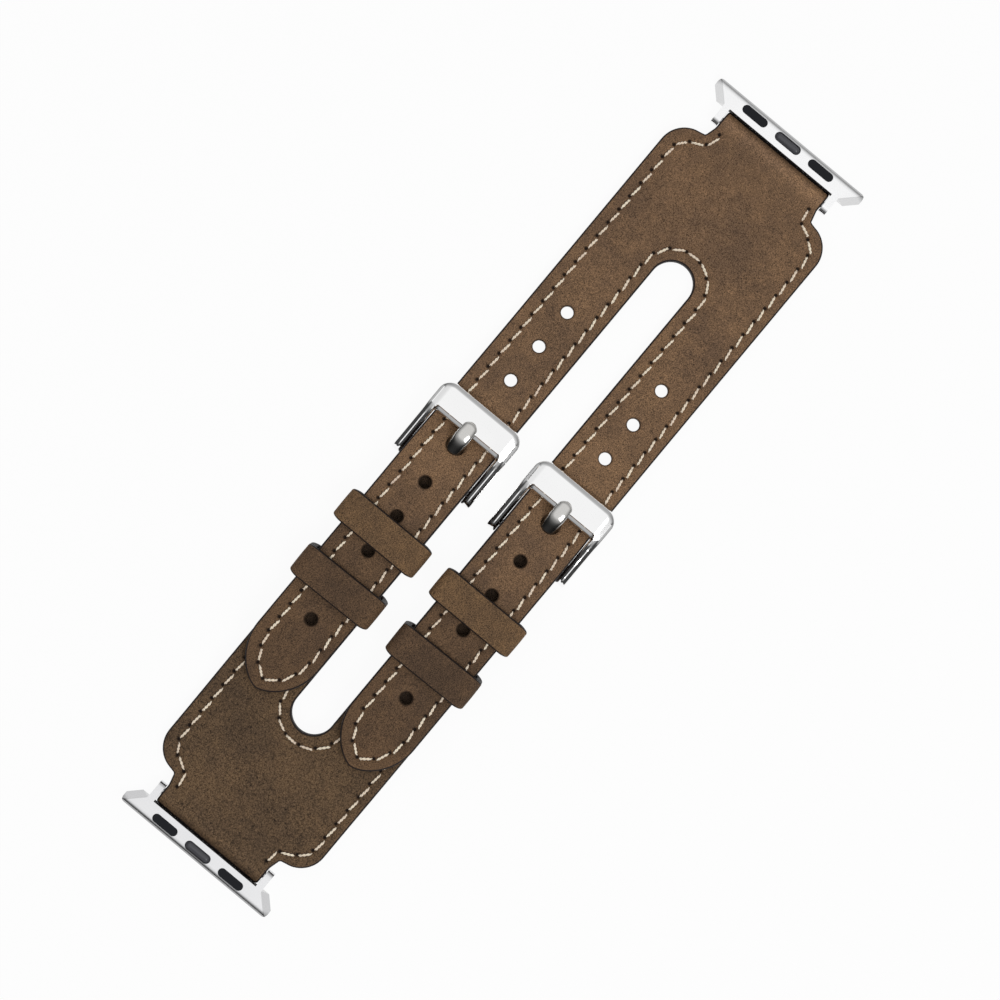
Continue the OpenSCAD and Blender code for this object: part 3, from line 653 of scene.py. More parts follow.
SEAM_INSET = 1.95 + EDGE_SWELL
SEAM_SLOT_R = SLOT_HALF + 2.05 + EDGE_SWELL
SEAM_TIP_START = TIP_X + 2.05
SEAM_TIP_LENGTH = 7.6
# The seams of a strap stand this much nearer to its inner edge
SEAM_SHIFT = 0.05

# The lining ends here, where the upper layer's end is turned in
LINING_END = PIN_X - TURNED_IN

# What the straps leave in sight: the short half's top stitches, and the tail's under stitches
TOP_SHOWS_TO = TIP_X + 9
UNDER_SHOWS_FROM = 8.0

# A stitch starts this far along and beside its awl hole, and ends this far before the next one
START_ALONG, START_LEAN = 0.42, 0.44
END_ALONG, END_SHIFT, END_LEAN = 0.28, 0.10, 0.12

# Thread: points and sides of a ply, turns in a stitch, its rise, and how deep its ends go
PLY_SECTIONS, PLY_SIDES = 15, 6
PLY_APART = 0.86
TWISTS = 1.7
THREAD_RISE = 0.16
THREAD_SINK = 0.42
THREAD_SEED = 7
TOP_DIP, UNDER_DIP = -0.10, -0.32


def seam_shoulder():
    """The seam from the neck round the shoulder to the straight side, at +X and +Y."""
    return np.array([[71.2, 9.75], [68.85, 9.95], [67.7, 12.1], [66.5, 14.25], [64.5, 14.8]])


def tail_seam():
    """Three lines of the tail half, which meet in an awl hole at the point of each strap."""
    tip = tip_curve(
        SEAM_TIP_START, SEAM_TIP_LENGTH, STRAP_HALF - SEAM_INSET - SEAM_SHIFT,
        STRAP_Y - SEAM_SHIFT, 41)
    middle_of_tip = len(tip) // 2
    outer = np.concatenate([seam_shoulder(), tip[:middle_of_tip + 1]])
    inner = np.concatenate([tip[middle_of_tip:], arc(SLOT_X, 0, SEAM_SLOT_R, 90, 0)])
    return [outer, np.concatenate([inner, mirrored(inner)[1:]]), mirrored(outer)]


def short_seam(strap_end):
    """Two lines of the short half: round the slot, and one outer line for each side."""
    slot = np.concatenate([
        [[strap_end, -SEAM_SLOT_R]], arc(-SLOT_X, 0, SEAM_SLOT_R, 270, 90),
        [[strap_end, SEAM_SLOT_R]]])
    upper = np.concatenate([
        [[strap_end, BODY_HALF - SEAM_INSET]], (seam_shoulder() * [-1, 1])[::-1]])
    return [slot, upper, upper * [1, -1]]


def awl_points(path, pitch):
    """Even stitches along a path: holes, and the direction at each, taken over 1.2 mm."""
    lengths = lengths_along(path)
    at = np.linspace(0, lengths[-1], int(round(lengths[-1] / pitch)) + 1)
    holes, after, before = (
        at_lengths(path, lengths, np.clip(at + d, 0, lengths[-1])) for d in (0, 0.6, -0.6))
    return holes, unit(after - before)


def stitch_ends(holes, along):
    """Ends of each stitch in plan. A stitch leans more on the side of a strap that faces -Y."""
    left = to_left(along)
    facing = -left[:, 1:2]
    start = holes + START_ALONG * along + START_LEAN * facing * left
    end = holes - END_ALONG * along + (END_SHIFT + END_LEAN * facing) * left
    return start[:-1], end[1:]


def twisted_stitches(name, starts, ends, wrap, top, ply_r):
    """Two plies twisted round each other, from one awl hole to the next, on a face of a wrap.

    The middle line is the chord between the ends, raised by THREAD_RISE times the root of sin and
    sunk at both ends; each ply stands PLY_APART radii off it and turns round it along the length.
    """
    rng = np.random.default_rng(THREAD_SEED)
    sections, sides, count = PLY_SECTIONS, PLY_SIDES, len(starts)
    t = np.linspace(0, 1, sections)
    swell = np.sin(math.pi * t)
    flat = (starts[:, None] + (ends - starts)[:, None] * t[None, :, None]).reshape(-1, 2)

    def at_height(height):
        relief = height + TOP_DIP if top else -(height + UNDER_DIP)
        return wrap.place(flat, 1.0 if top else 0.0, relief).reshape(count, sections, 3)

    lift = THREAD_RISE * np.sqrt(np.clip(swell, 0, 1)) - THREAD_SINK * (1 - swell) ** 6
    base = at_height(0.0)
    up = unit(at_height(1.0) - base)
    middle_line = base + up * lift[None, :, None]
    along = unit(np.gradient(middle_line, axis=1))
    beside = unit(np.cross(along, up))
    over = np.cross(beside, along)
    phase = rng.uniform(0, 2 * math.pi, (count, 1))
    thick = (0.75 + 0.25 * swell**0.5)[None, :] * rng.uniform(0.92, 1.06, (count, 1))
    radius = ply_r * thick
    around = (np.arange(sides) * 2 * math.pi / sides)[None, None, :, None]
    points = []
    for ply in (0, 1):
        turn = (phase + math.pi * ply + 2 * math.pi * TWISTS * t[None, :])[..., None]
        off = np.cos(turn) * beside + np.sin(turn) * over
        centre = middle_line + PLY_APART * radius[..., None] * off
        points.append(centre[:, :, None] + radius[..., None, None] * (
            np.cos(around) * beside[:, :, None] + np.sin(around) * over[:, :, None]))
    points = np.stack(points, axis=1).reshape(-1, 3)
    tube_starts = np.arange(2 * count)[:, None] * sections * sides
    quads = (tube_starts[..., None] + ring_quads(sections, sides)).reshape(-1, 4)
    cap = np.arange(1, sides - 1)
    first = np.stack([tube_starts + 0 * cap, tube_starts + cap + 1, tube_starts + cap], axis=-1)
    tail = tube_starts + (sections - 1) * sides
    last = np.stack([tail + 0 * cap, tail + cap, tail + cap + 1], axis=-1)
    return mesh_from(name, points, [quads, first.reshape(-1, 3), last.reshape(-1, 3)])


# Shader maths


class Socket:
    """Wraps a socket or a number, so that shader maths reads as plain sums."""

    def __init__(self, nodes, value):
        self.nodes, self.value = nodes, value

    def _math(self, operation, *values):
        return self.nodes.node("ShaderNodeMath", {"operation": operation}, *values)

    def __add__(self, other):
        return self._math("ADD", self, other)

    def __radd__(self, other):
        return self._math("ADD", other, self)

    def __sub__(self, other):
        return self._math("SUBTRACT", self, other)

    def __rsub__(self, other):
        return self._math("SUBTRACT", other, self)

    def __mul__(self, other):
        return self._math("MULTIPLY", self, other)

    def __pow__(self, other):
        return self._math("POWER", self, other)

    def size(self):
        return self._math("ABSOLUTE", self)

    def clamped(self, low, high):
        return self.nodes.node("ShaderNodeClamp", {}, self, low, high)

    def between(self, low, high):
        """0 below low, 1 above high, and a smooth step between them."""
        return self.nodes.node(
            "ShaderNodeMapRange", {"interpolation_type": "SMOOTHSTEP"}, self, low, high, 0.0, 1.0)


class Nodes:
    """A node tree under construction."""

    def __init__(self, tree):
        self.tree = tree

    def _plug(self, socket, value):
        if isinstance(value, Socket):
            self.tree.links.new(value.value, socket)
        else:
            socket.default_value = value

    def node(self, kind, settings, *values, output=0, **named):
        """One node of a kind: its settings first, then its inputs by place or by name."""
        made = self.tree.nodes.new(kind)
        for key, value in settings.items():
            setattr(made, key, value)
        for socket, value in zip(made.inputs, values):
            if value is not None:
                self._plug(socket, value)
        for key, value in named.items():
            self._plug(made.inputs[key.replace("_", " ")], value)
        return Socket(self, made.outputs[output])

    def place(self):
        return self.node("ShaderNodeTexCoord", {}, output="Object")

    def attribute(self, name):
        return self.node("ShaderNodeAttribute", {"attribute_name": name}, output="Fac")

    def noise(self, where, scale, detail=3.0, roughness=0.5):
        return self.node(
            "ShaderNodeTexNoise", {}, Vector=where, Scale=scale, Detail=detail, Roughness=roughness)

    def mix(self, share, a, b):
        """Colour a where the share is 0 and colour b where it is 1."""
        made = self.tree.nodes.new("ShaderNodeMix")
        made.data_type = "RGBA"
        self._plug(made.inputs[0], share)
        self._plug(made.inputs[6], a)
        self._plug(made.inputs[7], b)
        return Socket(self, made.outputs[2])

    def scaled(self, colour, factor):
        return self.node(
            "ShaderNodeVectorMath", {"operation": "SCALE"}, Vector=colour, Scale=factor)

    def bumped(self, height, distance, strength=1.0):
        return self.node(
            "ShaderNodeBump", {}, Strength=strength, Distance=distance, Height=height)


class Finish(Nodes):
    """A material under construction."""

    def __init__(self, name):
        self.material = bpy.data.materials.new(name)
        self.material.use_nodes = True
        super().__init__(self.material.node_tree)
        self.shader = self.tree.nodes["Principled BSDF"]

    def set(self, **values):
        for key, value in values.items():
            self._plug(self.shader.inputs[key.replace("_", " ")], value)
        return self.material


def rgb(colour, factor=1.0):
    """A colour as four numbers, made lighter or darker by a factor."""
    return (*(min(1.0, channel * factor) for channel in colour[:3]), 1.0)


# How much lighter the leather is at a full mark: burnished hole rims, and painted highlight along
# the folds
RIM_GAIN = 0.45


def leather_finish(name, colour, paint, seed=0.0, pebble=0.0, shade=0.0):
    """Oiled matte leather: fine grain, cloudy tone, burnished hole rims, painted highlight along
    the folds, painted shade in the awl holes, and painted edges.

    The colour is multiplied by 1 + 4.2 (grain - 0.5), where clouds of several millimetres choose
    between a darker and a lighter tone of the same hide. The shade is how much darker the pointed
    ends are: the colour falls by that share from X = 0 to X = -25 mm, by the keepers, and beyond.
    """
    finish = Finish(name)
    where = finish.node(
        "ShaderNodeMapping", {}, Vector=finish.place(), Location=(seed, seed * 0.7, 0.0))
    clouds = finish.noise(where, 85.0, 3.0, 0.55)
    patches = finish.noise(where, 420.0, 3.0, 0.6)
    grain = finish.noise(where, 6000.0, 3.0, 0.6)
    cells = finish.node("ShaderNodeTexVoronoi", {"feature": "F1"}, Vector=where, Scale=2300.0)
    tone = clouds * 0.6 + patches * 0.4
    base = finish.mix(
        tone.between(0.33, 0.67), rgb((colour[0] * 0.78, colour[1] * 0.79, colour[2] * 0.83)),
        rgb((colour[0] * 1.23, colour[1] * 1.21, colour[2] * 1.15)))
    base = finish.scaled(base, finish.attribute("burnish_and_highlight") * RIM_GAIN + 1.0)
    # Darker towards -X: the pointed ends lose the shade's share of their colour.
    place_parts = finish.node("ShaderNodeSeparateXYZ", {}, finish.place())
    darker_towards_tips = 1.0 - (1.0 - place_parts.between(-0.025, 0.0)) * shade
    base = finish.scaled(base, (grain * 4.2 - 1.1 + (0.42 - cells) * pebble) * darker_towards_tips)
    pit_shade = finish.attribute("pit_shade")
    # Painted shade: near black in the awl holes, and where the other half's punched holes show this
    # leather.
    base = finish.mix(pit_shade.clamped(0.0, 1.0), base, rgb((0.010, 0.006, 0.005)))
    worn = finish.attribute("paint") + (grain - 0.5) * 0.7
    base = finish.mix(worn.between(0.32, 0.68), base, rgb(paint))
    height = grain * 0.7 + patches * 0.35 - cells * pebble
    return finish.set(
        Base_Color=base,
        Roughness=(0.62 + grain * 0.26 - finish.attribute("paint") * 0.2).clamped(0.3, 0.95),
        Specular_IOR_Level=0.18,
        Normal=finish.bumped(height, 0.00018, 0.9))


LINING_COLOUR = (0.23, 0.155, 0.10)


def suede_finish(name, colour):
    """Napped lining leather."""
    finish = Finish(name)
    where = finish.place()
    nap = finish.noise(where, 3800.0, 3.0, 0.7)
    clouds = finish.noise(where, 140.0, 3.0, 0.5)
    tone = (nap * 0.6 + clouds * 0.5).between(0.3, 0.85)
    base = finish.mix(tone, rgb(colour, 0.75), rgb(colour, 1.25))
    # Painted shade in the awl holes.
    base = finish.mix(finish.attribute("pit_shade").clamped(0.0, 1.0), base, rgb((0.012, 0.008, 0.006)))
    worn = finish.attribute("paint") + (nap - 0.5) * 0.6
    base = finish.mix(worn.between(0.35, 0.7), base, rgb(look().edge_paint))
    return finish.set(
        Base_Color=base, Roughness=0.92, Specular_IOR_Level=0.2,
        Normal=finish.bumped(nap, 0.0001, 0.7))


def thread_finish(name):
    """Waxed polyester thread: fine fibres and a little soiling."""
    finish = Finish(name)
    where = finish.place()
    fibres = finish.noise(where, 9000.0, 2.0, 0.6)
    soil = finish.noise(where, 260.0, 2.0, 0.5)
    colour = look().thread
    tone = (fibres * 0.5 + soil * 0.6).between(0.3, 0.8)
    base = finish.mix(tone, rgb(colour, 0.80), rgb(colour, 1.15))
    return finish.set(
        Base_Color=base, Roughness=0.55, Specular_IOR_Level=0.4,
        Normal=finish.bumped(fibres, 0.00003, 0.6))


def steel_finish(name, colour, roughness, blast=0.0, soiled=None):
    """Steel: mirror polished, or satin with a fine blasted grain.

    Given painted shade, its colour goes from a quarter to full between two places along X: painted
    shade of a part down in a hole.
    """
    finish = Finish(name)
    where = finish.place()
    smears = finish.noise(where, 160.0, 3.0, 0.5)
    base = finish.mix(smears, rgb(colour, 0.97), rgb(colour, 1.03))
    # Painted shade, darker towards -X.
    if soiled:
        along = finish.node("ShaderNodeSeparateXYZ", {}, where)
        base = finish.scaled(base, along.between(soiled[0] * MM, soiled[1] * MM) * 0.75 + 0.25)
    values = {
        "Base_Color": base,
        "Metallic": 1.0,
        "Roughness": (roughness + (smears - 0.5) * roughness * 0.5).clamped(0.02, 0.9),
    }
    if blast:
        grains = finish.noise(where, 9000.0, 1.0, 0.5)
        values["Normal"] = finish.bumped(grains, 0.000012, blast)
    return finish.set(**values)


# Adapter: the places where its finish paints shade
ROLL_START = 77.7
ROLL_END = 78.8
ROLL_SHADE = 0.5
ARM_OUTER = 12.38
FLANK_CREASE = -63.4
FLANK_SHADE = 0.27


def adapter_finish(name, colour):
    """Satin steel of an adapter, with painted shade on its flanks and towards its rounded outer
    edge.

    A flank lies past the line y - x = FLANK_CREASE and outside the arms. The wall that faces the
    leather's fold is painted black, as painted shade of the slit between fold and plate: it lies
    nearer to the middle of the band than the plate's face, and between the arms.
    """
    finish = Finish(name)
    where = finish.place()
    smears = finish.noise(where, 160.0, 3.0, 0.5)
    split = finish.node("ShaderNodeSeparateXYZ", {}, where)
    x = split.size()
    y = Socket(finish, split.value.node.outputs["Y"]).size()
    # Painted shade: the wall between the arms, facing the leather's fold, is near black and not
    # metallic.
    wall_shade = (1.0 - x.between(PLATE_WALL * MM, (PLATE_WALL + 0.03) * MM)) * (
        1.0 - y.between((NECK_HALF + 0.12) * MM, (NECK_HALF + 0.15) * MM)) * 0.97
    base = finish.mix(smears, rgb(colour, 0.97), rgb(colour, 1.03))
    base = finish.mix(wall_shade, base, rgb((0.012, 0.010, 0.009)))
    # Painted shade of the flanks and the rolled outer edge, for the darker surroundings that they
    # reflect.
    flank = (y - x).between(FLANK_CREASE * MM, (FLANK_CREASE + 0.12) * MM) * y.between(
        ARM_OUTER * MM, (ARM_OUTER + 0.15) * MM)
    reflection_shade = 1.0 - flank * FLANK_SHADE - x.between(ROLL_START * MM, ROLL_END * MM) * ROLL_SHADE
    brushed = finish.node("ShaderNodeMapping", {}, Vector=where, Scale=(9000.0, 250.0, 9000.0))
    lines = finish.noise(brushed, 1.0, 2.0, 0.6)
    return finish.set(
        Base_Color=finish.scaled(base, reflection_shade), Metallic=1.0 - wall_shade,
        Roughness=((smears - 0.5) * 0.1 + 0.22 + wall_shade * 0.5).clamped(0.02, 0.9),
        Normal=finish.bumped(lines, 0.000004, 0.4))


def plastic_finish(name, colour, roughness, gloss):
    """Black rubber or plastic with a faint moulded texture."""
    finish = Finish(name)
    where = finish.place()
    grain = finish.noise(where, 4000.0, 2.0, 0.5)
    base = finish.mix(grain, rgb(colour, 0.8), rgb(colour, 1.25))
    return finish.set(
        Base_Color=base, Roughness=(roughness + (grain - 0.5) * 0.1).clamped(0.05, 1.0),
        Specular_IOR_Level=gloss, Normal=finish.bumped(grain, 0.00001, 0.35))


def look():
    return bpy.context.scene.band_look


def stitches():
    return bpy.context.scene.stitch_sizes


def finished(name, maker, *values, **options):
    """A material by name, made once."""
    return bpy.data.materials.get(name) or maker(name, *values, **options)


# Reliefs of the leather's faces and the marks that its finish reads


# Groove along a seam and dish round a punched hole: depths, and half width of both
GROOVE_DEPTH = 0.13
DISH_DEPTH = 0.16
DENT_HALF = 0.55


def seam_relief(paths, holes, crown, awl, awl_depth):
    """Height over a flat layer: a groove along the seam, pits at awl holes, dished hole rims."""

    def height(flat):
        near_seam = np.min([distance_to(flat, path) for path in paths], axis=0)
        rise = crown * step(0.4, 3.4, near_seam) - GROOVE_DEPTH * bump(near_seam, DENT_HALF)
        for loop, _ in holes:
            rise = rise - DISH_DEPTH * bump(distance_to(flat, loop, True), DENT_HALF)
        return rise - awl_depth * (1 - step(0, AWL_RIM, nearest(flat, awl)))

    return height


def layer_marks(holes, awl, soiled=None):
    """Marks for the finish: burnished hole rims, painted highlight along the folds, and painted
    shade in the awl holes.

    The places given, if any, get painted shade too: they show at the bottom of the other half's
    punched holes.
    """

    def burnish_and_highlight(flat):
        # Painted highlight along the fold at each adapter, fainter on the short half, and burnished
        # rims round punched holes.
        ring = np.where(flat[:, 0] > 0, 1.0, 0.35) * bump(np.abs(flat[:, 0]) - PIN_X - 0.2, 1.2)
        for loop, _ in holes:
            ring = np.maximum(ring, 0.25 * bump(distance_to(flat, loop, True) - 0.5, 0.55))
        return ring

    def pit_shade(flat):
        # Painted shade in the awl holes.
        dark = 1 - step(AWL_RIM * 0.4, AWL_RIM * 1.15, nearest(flat, awl))
        # Painted shade where the other half's punched holes show this leather.
        if soiled is not None:
            dark = np.maximum(dark, 0.68 * (1 - step(HOLE_R, HOLE_R * 1.6, nearest(flat, soiled))))
        return dark

    return {"burnish_and_highlight": burnish_and_highlight, "pit_shade": pit_shade}


class LeatherHalf:
    """One half of the band: its wraps, plans, holes and seams."""

    def __init__(self, tail):
        loop_length = math.pi * (ADAPTER_LOOP_R + BORE_R) / 2
        neck_end = PIN_X + loop_length + TURNED_IN
        lining_neck = LINING_END - 0.03
        if tail:
            self.name = "tail"
            self.upper_wrap, self.lining_wrap = tail_upper_wrap(), tail_lining_wrap()
            self.outline, self.lining_outline = tail_outline(neck_end), tail_outline(lining_neck)
            self.upper_holes = tail_holes(PRONG_OUTSIDE, PRONG_SEAM)
            self.lining_holes = tail_holes(PRONG_SEAM, PRONG_UNDERSIDE)
            self.seams = tail_seam()
        else:
            strap_end = BAR_X + math.pi * (BUCKLE_LOOP_R + BORE_R) / 2 + TURNED_IN
            self.name = "short"
            self.upper_wrap, self.lining_wrap = short_upper_wrap(), short_lining_wrap()
            self.outline = short_outline(neck_end, strap_end)
            self.lining_outline = short_outline(lining_neck, BAR_X - TURNED_IN - 0.03)
            start, end = BAR_X - RING_BACK, strap_end - TURNED_IN + RING_BACK
            slots = [square_slot(start, end, y, 1.65, 0.4) for y in (-STRAP_Y, STRAP_Y)]
            self.upper_holes = [(slot, slot) for slot in slots]
            self.lining_holes = []
            self.seams = short_seam(BAR_X - 6.4)


class BAND_OT_leather(bpy.types.Operator):
    """Cut, turn and edge the two halves of the band, each an upper layer on a lining."""

    bl_idname = "band.leather"
    bl_label = "Leather Halves"

    def execute(self, context):
        pitch = stitches().pitch / MM
        for tail in (True, False):
            half = LeatherHalf(tail)
            colour = look().tail_leather if tail else look().short_leather
            awl = np.concatenate([awl_points(path, pitch)[0] for path in half.seams])
            awl = np.unique(np.round(awl, 4), axis=0)
            # The short half gets painted shade where the tail's punched holes show it.
            soiled = None if tail else punched_places()
            upper_awl = awl if tail else awl[awl[:, 0] < TOP_SHOWS_TO]
            lining_awl = awl[(awl[:, 0] > UNDER_SHOWS_FROM) | (not tail)]
            lining_awl = lining_awl[np.abs(lining_awl[:, 0]) < LINING_END - 0.5]
            mesh = leather_layer(
                f"{half.name}_upper_leather", half.upper_wrap, half.outline, half.upper_holes,
                UPPER_SIDE, 1, seam_relief(half.seams, half.upper_holes, 0.07, upper_awl, 0.5),
                upper_awl, layer_marks(half.upper_holes, upper_awl, soiled))
            finish = finished(
                f"{half.name}_grain_leather", leather_finish, colour, look().edge_paint,
                seed=0.0 if tail else 0.31,
                pebble=0.15 if tail else 0.7, shade=0.36 if tail else 0.0)
            new_piece(f"{half.name}_upper_skin", mesh, [finish], "root",
                      [f"{half.name}_upper_leather"])
            mesh = leather_layer(
                f"{half.name}_lining", half.lining_wrap, half.lining_outline, half.lining_holes,
                LINING_SIDE, 0, seam_relief(half.seams, half.lining_holes, 0.0, lining_awl, 0.2),
                lining_awl, layer_marks(half.lining_holes, lining_awl))
            suede = finished("napped_lining", suede_finish, LINING_COLOUR)
            new_piece(f"{half.name}_lining_skin", mesh, [suede],
                      "root", [f"{half.name}_lining"])
        return {"FINISHED"}


class BAND_OT_stitching(bpy.types.Operator):
    """Sew both halves with a twisted thread, on the faces that show."""

    bl_idname = "band.stitching"
    bl_label = "Stitching"

    def execute(self, context):
        pitch = stitches().pitch / MM
        ply = stitches().thread_radius / MM
        thread = finished("waxed_thread", thread_finish)
        for tail in (True, False):
            half = LeatherHalf(tail)
            for top in (True, False):
                starts, ends = [], []
                for path in half.seams:
                    first, last = stitch_ends(*awl_points(path, pitch))
                    starts.append(first)
                    ends.append(last)
                starts, ends = np.concatenate(starts), np.concatenate(ends)
                shown = np.ones(len(starts), bool)
                if top and not tail:
                    shown = starts[:, 0] < TOP_SHOWS_TO
                if tail and not top:
                    shown = starts[:, 0] > UNDER_SHOWS_FROM
                if not top:
                    reach = np.maximum(np.abs(starts[:, 0]), np.abs(ends[:, 0]))
                    shown &= reach < LINING_END - 0.6
                mesh = twisted_stitches(
                    f"{half.name}_{'top' if top else 'under'}_stitches", starts[shown], ends[shown],
                    half.upper_wrap if top else half.lining_wrap, top, ply)
                new_piece(mesh.name, mesh, [thread], "root")
        return {"FINISHED"}


# Keepers: a rounded strip swept along a path in Y and Z
KEEPER_THICKNESS = 1.3
KEEPER_STEP = 0.35
OUTER_CORNER = 0.42
INNER_CORNER = 0.2
KEEPER_CROWN = 0.05
KEEPER_NARROWING = 0.07
FREE_BEND, FIXED_BEND = 1.05, 0.95


def round_path(half, low, high, radius, start_y, closed):
    """Middle line of a keeper in Y and Z, from under the strap round over it and back.

    The corners are arcs of the radius. An open path starts and ends at start_y, on the level low.
    """
    corners = [(half, low), (half, high), (-half, high), (-half, low)]
    turns = [(-90, 0), (0, 90), (90, 180), (180, 270)]
    parts = [[[start_y, low]]]
    for (y, z), (a, b) in zip(corners, turns):
        cy, cz = y - math.copysign(radius, y), z + (radius if z == low else -radius)
        parts.append(arc(cy, cz, radius, a, b, 12))
    parts.append([[0.02 if closed else -start_y, low]])
    return np.concatenate(parts)


def keeper_strip(name, path, x_middle, y_middle, width, skew, lean):
    """A strip with rounded edges carried along a path in Y and Z.

    At each path point the section's points are: path + normal times depth, x middle + breadth,
    with the breadth and depth of a rounded rectangle. The strip narrows a little where it goes
    down the sides, the skew turns it about its middle and the lean shifts its lower part along X.
    """
    path = resampled(path, KEEPER_STEP, closed=False)
    outward = -to_left(unit(np.gradient(path, axis=0)))
    half_w, half_t, corner = width / 2, KEEPER_THICKNESS / 2, OUTER_CORNER
    columns = np.linspace(-half_w + corner, half_w - corner, 13)
    top = points_of(columns, half_t)
    right = arc(half_w - corner, half_t - corner, corner, 90, 0, 5)
    right_low = arc(half_w - INNER_CORNER, -half_t + INNER_CORNER, INNER_CORNER, 0, -90, 4)
    bottom = points_of(columns[::-3], -half_t)
    left_low = right_low[::-1] * [-1, 1]
    left = right[::-1] * [-1, 1]
    section = np.concatenate([top, right[1:], right_low, bottom[1:-1], left_low, left[:-1]])
    crown = KEEPER_CROWN * (1 - (section[:, 0] / half_w) ** 2) * (section[:, 1] > half_t * 0.9)
    depth = section[:, 1] + crown
    n, m = len(path), len(section)
    y = path[:, 0][:, None] + outward[:, 0][:, None] * depth[None]
    z = path[:, 1][:, None] + outward[:, 1][:, None] * depth[None]
    narrow = 1 - KEEPER_NARROWING * np.abs(outward[:, 0])[:, None] ** 2
    below = (path[:, 1].max() - path[:, 1])[:, None]
    x = section[:, 0][None] * narrow + lean * below / np.ptp(path[:, 1])
    turned_x = x * math.cos(skew) - y * math.sin(skew)
    turned_y = x * math.sin(skew) + y * math.cos(skew)
    points = points_of(x_middle + turned_x, y_middle + turned_y, z).reshape(-1, 3)
    edge = np.abs(section[:, 0]) - (half_w - corner)
    paint = np.where(edge > 0.1, np.clip((edge - 0.1) / 0.18, 0, 1), 0)
    paint = np.broadcast_to(paint[None], (n, m)).ravel()
    zero = np.zeros(n * m)
    return mesh_from(name, points, tube_faces(n, m), {"paint": paint, "burnish_and_highlight": zero, "pit_shade": zero})


class BAND_OT_keepers(bpy.types.Operator):
    """Fold the two fixed and the two sliding keepers."""

    bl_idname = "band.keepers"
    bl_label = "Keepers"

    def execute(self, context):
        paint = look().edge_paint
        # The sliding keepers' darker colour is painted shade of their leaning tops.
        free = finished(
            "free_keeper_leather", leather_finish, look().free_keeper, paint, seed=0.11)
        fixed = finished(
            "fixed_keeper_leather", leather_finish, look().fixed_keeper, paint, seed=0.23)
        seam = LIFTED + LINING
        for tag, side in (("a", 1), ("b", -1)):
            for kind, material, skew, lean in (
                    ("fixed", fixed, 0.0, 0.0), ("free", free, 0.014, 0.35)):
                node = f"{kind}_keeper_{tag}"
                low, high = (np.array(corner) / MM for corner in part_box(node))
                half_t = KEEPER_THICKNESS / 2
                half, top = (high[1] - low[1]) / 2 - half_t, high[2] - half_t
                if kind == "free":
                    path = round_path(half, low[2] + half_t, top, FREE_BEND, 0.06, True)
                    start = path[:1] * [-1, 1]
                    path = np.concatenate([path[:-1], start])
                    body = node
                else:
                    path = round_path(
                        half, seam + 0.1, top, FIXED_BEND, STRAP_HALF - 0.6, False)
                    body = "root"
                middle_x, middle_y = (low[0] + high[0]) / 2, side * STRAP_Y
                mesh = keeper_strip(
                    node, path, middle_x, middle_y, high[0] - low[0], skew, lean)
                new_piece(f"{node}_skin", mesh, [material], body, [node])
        return {"FINISHED"}


def solid_plate(loop, top, bottom, spacing, top_round, bottom_round, extra=NO_POINTS):
    """A solid between two height functions over a plan, with both rims rounded.

    The rims' rings stand at radius (1 - sin a) inside the edge and radius (1 - cos a) below the
    top, or above the bottom, for a from 0 to 90 degrees.
    """
    turn = np.radians(np.linspace(0, 90, 7))
    levels = [
        (radius * (1 - math.sin(a)), radius * (1 - math.cos(a)), upper)
        for radius, upper, turns in ((top_round, 1, turn), (bottom_round, 0, turn[::-1]))
        for a in turns]
    normals = left_normals(loop)
    rings, heights = [], []
    for inset, drop, upper in levels:
        ring = loop + inset * normals
        high, low = top(ring), bottom(ring)
        drop = np.minimum(drop, (high - low) * 0.45)
        rings.append(ring)
        heights.append(high - drop if upper else low + drop)
    top_grid, top_faces = fill(rings[:1], spacing, extra)
    low_grid, low_faces = fill(rings[-1:], spacing * 1.6)
    size, count = len(loop), len(levels)
    flat = np.concatenate([*rings, top_grid, low_grid])
    z = np.concatenate([*heights, top(top_grid), bottom(low_grid)])
    sides = ring_quads(count, size, False)
    top_faces = np.where(top_faces < size, top_faces, top_faces + (count - 1) * size)
    low_start = count * size + len(top_grid)
    low_faces = np.where(
        low_faces < size, low_faces + (count - 1) * size, low_faces - size + low_start)
    points = np.column_stack([flat, z])
    return points, [sides, top_faces, low_faces[:, ::-1]]


def joined(points, faces, more_points, more_faces):
    """Two shapes as one: their points, and their faces with the second's numbered on."""
    numbered_on = (part + len(points) for part in more_faces)
    return np.concatenate([points, more_points]), [*faces, *numbered_on]


def soft_least(sharpness, *values):
    """A minimum without creases: -k times the log of the sum of exp(-value / k)."""
    return -sharpness * np.log(sum(np.exp(-value / sharpness) for value in values))


# Buckle frame, measured from the axis of its spring bar
FRAME_HALF = 8.4
FRAME_INNER = 6.65
EYE_R = 2.0
BAR_BACK = 7.5
BEVEL_FOOT = BAR_BACK + 0.72
BAR_FRONT = 13.15
BAR_UNDER = 1.2
BAR_TOP = 3.1
FRONT_CORNER = 2.4
ARM_HOLE_R = 0.45
ARM_FACETS = (FRAME_INNER, 7.10, 7.45, 7.62, FRAME_HALF)
ARM_DROPS = (0.35, 0.0, 0.25, 0.27, 0.83)
FACET_ANGLE = math.radians(24)
CREASE_STEP = 0.15
END_CREASE = 7.72
# Width of the narrow steps beside the bevels
CREASE = 0.12
# The bar's slopes: places along X or Y, and heights there; the front one rises from its rim
BACK_SLOPE = ((BAR_BACK, BEVEL_FOOT, BEVEL_FOOT + CREASE, BEVEL_FOOT + 1), (2.54, 2.88, 3.12, 5.0))
END_SLOPE = ((6.6, END_CREASE, END_CREASE + CREASE, FRAME_HALF), (3.1, 2.74, 2.6, 2.36))
FRONT_RIM, FRONT_SLOPE = 2.4, 0.78


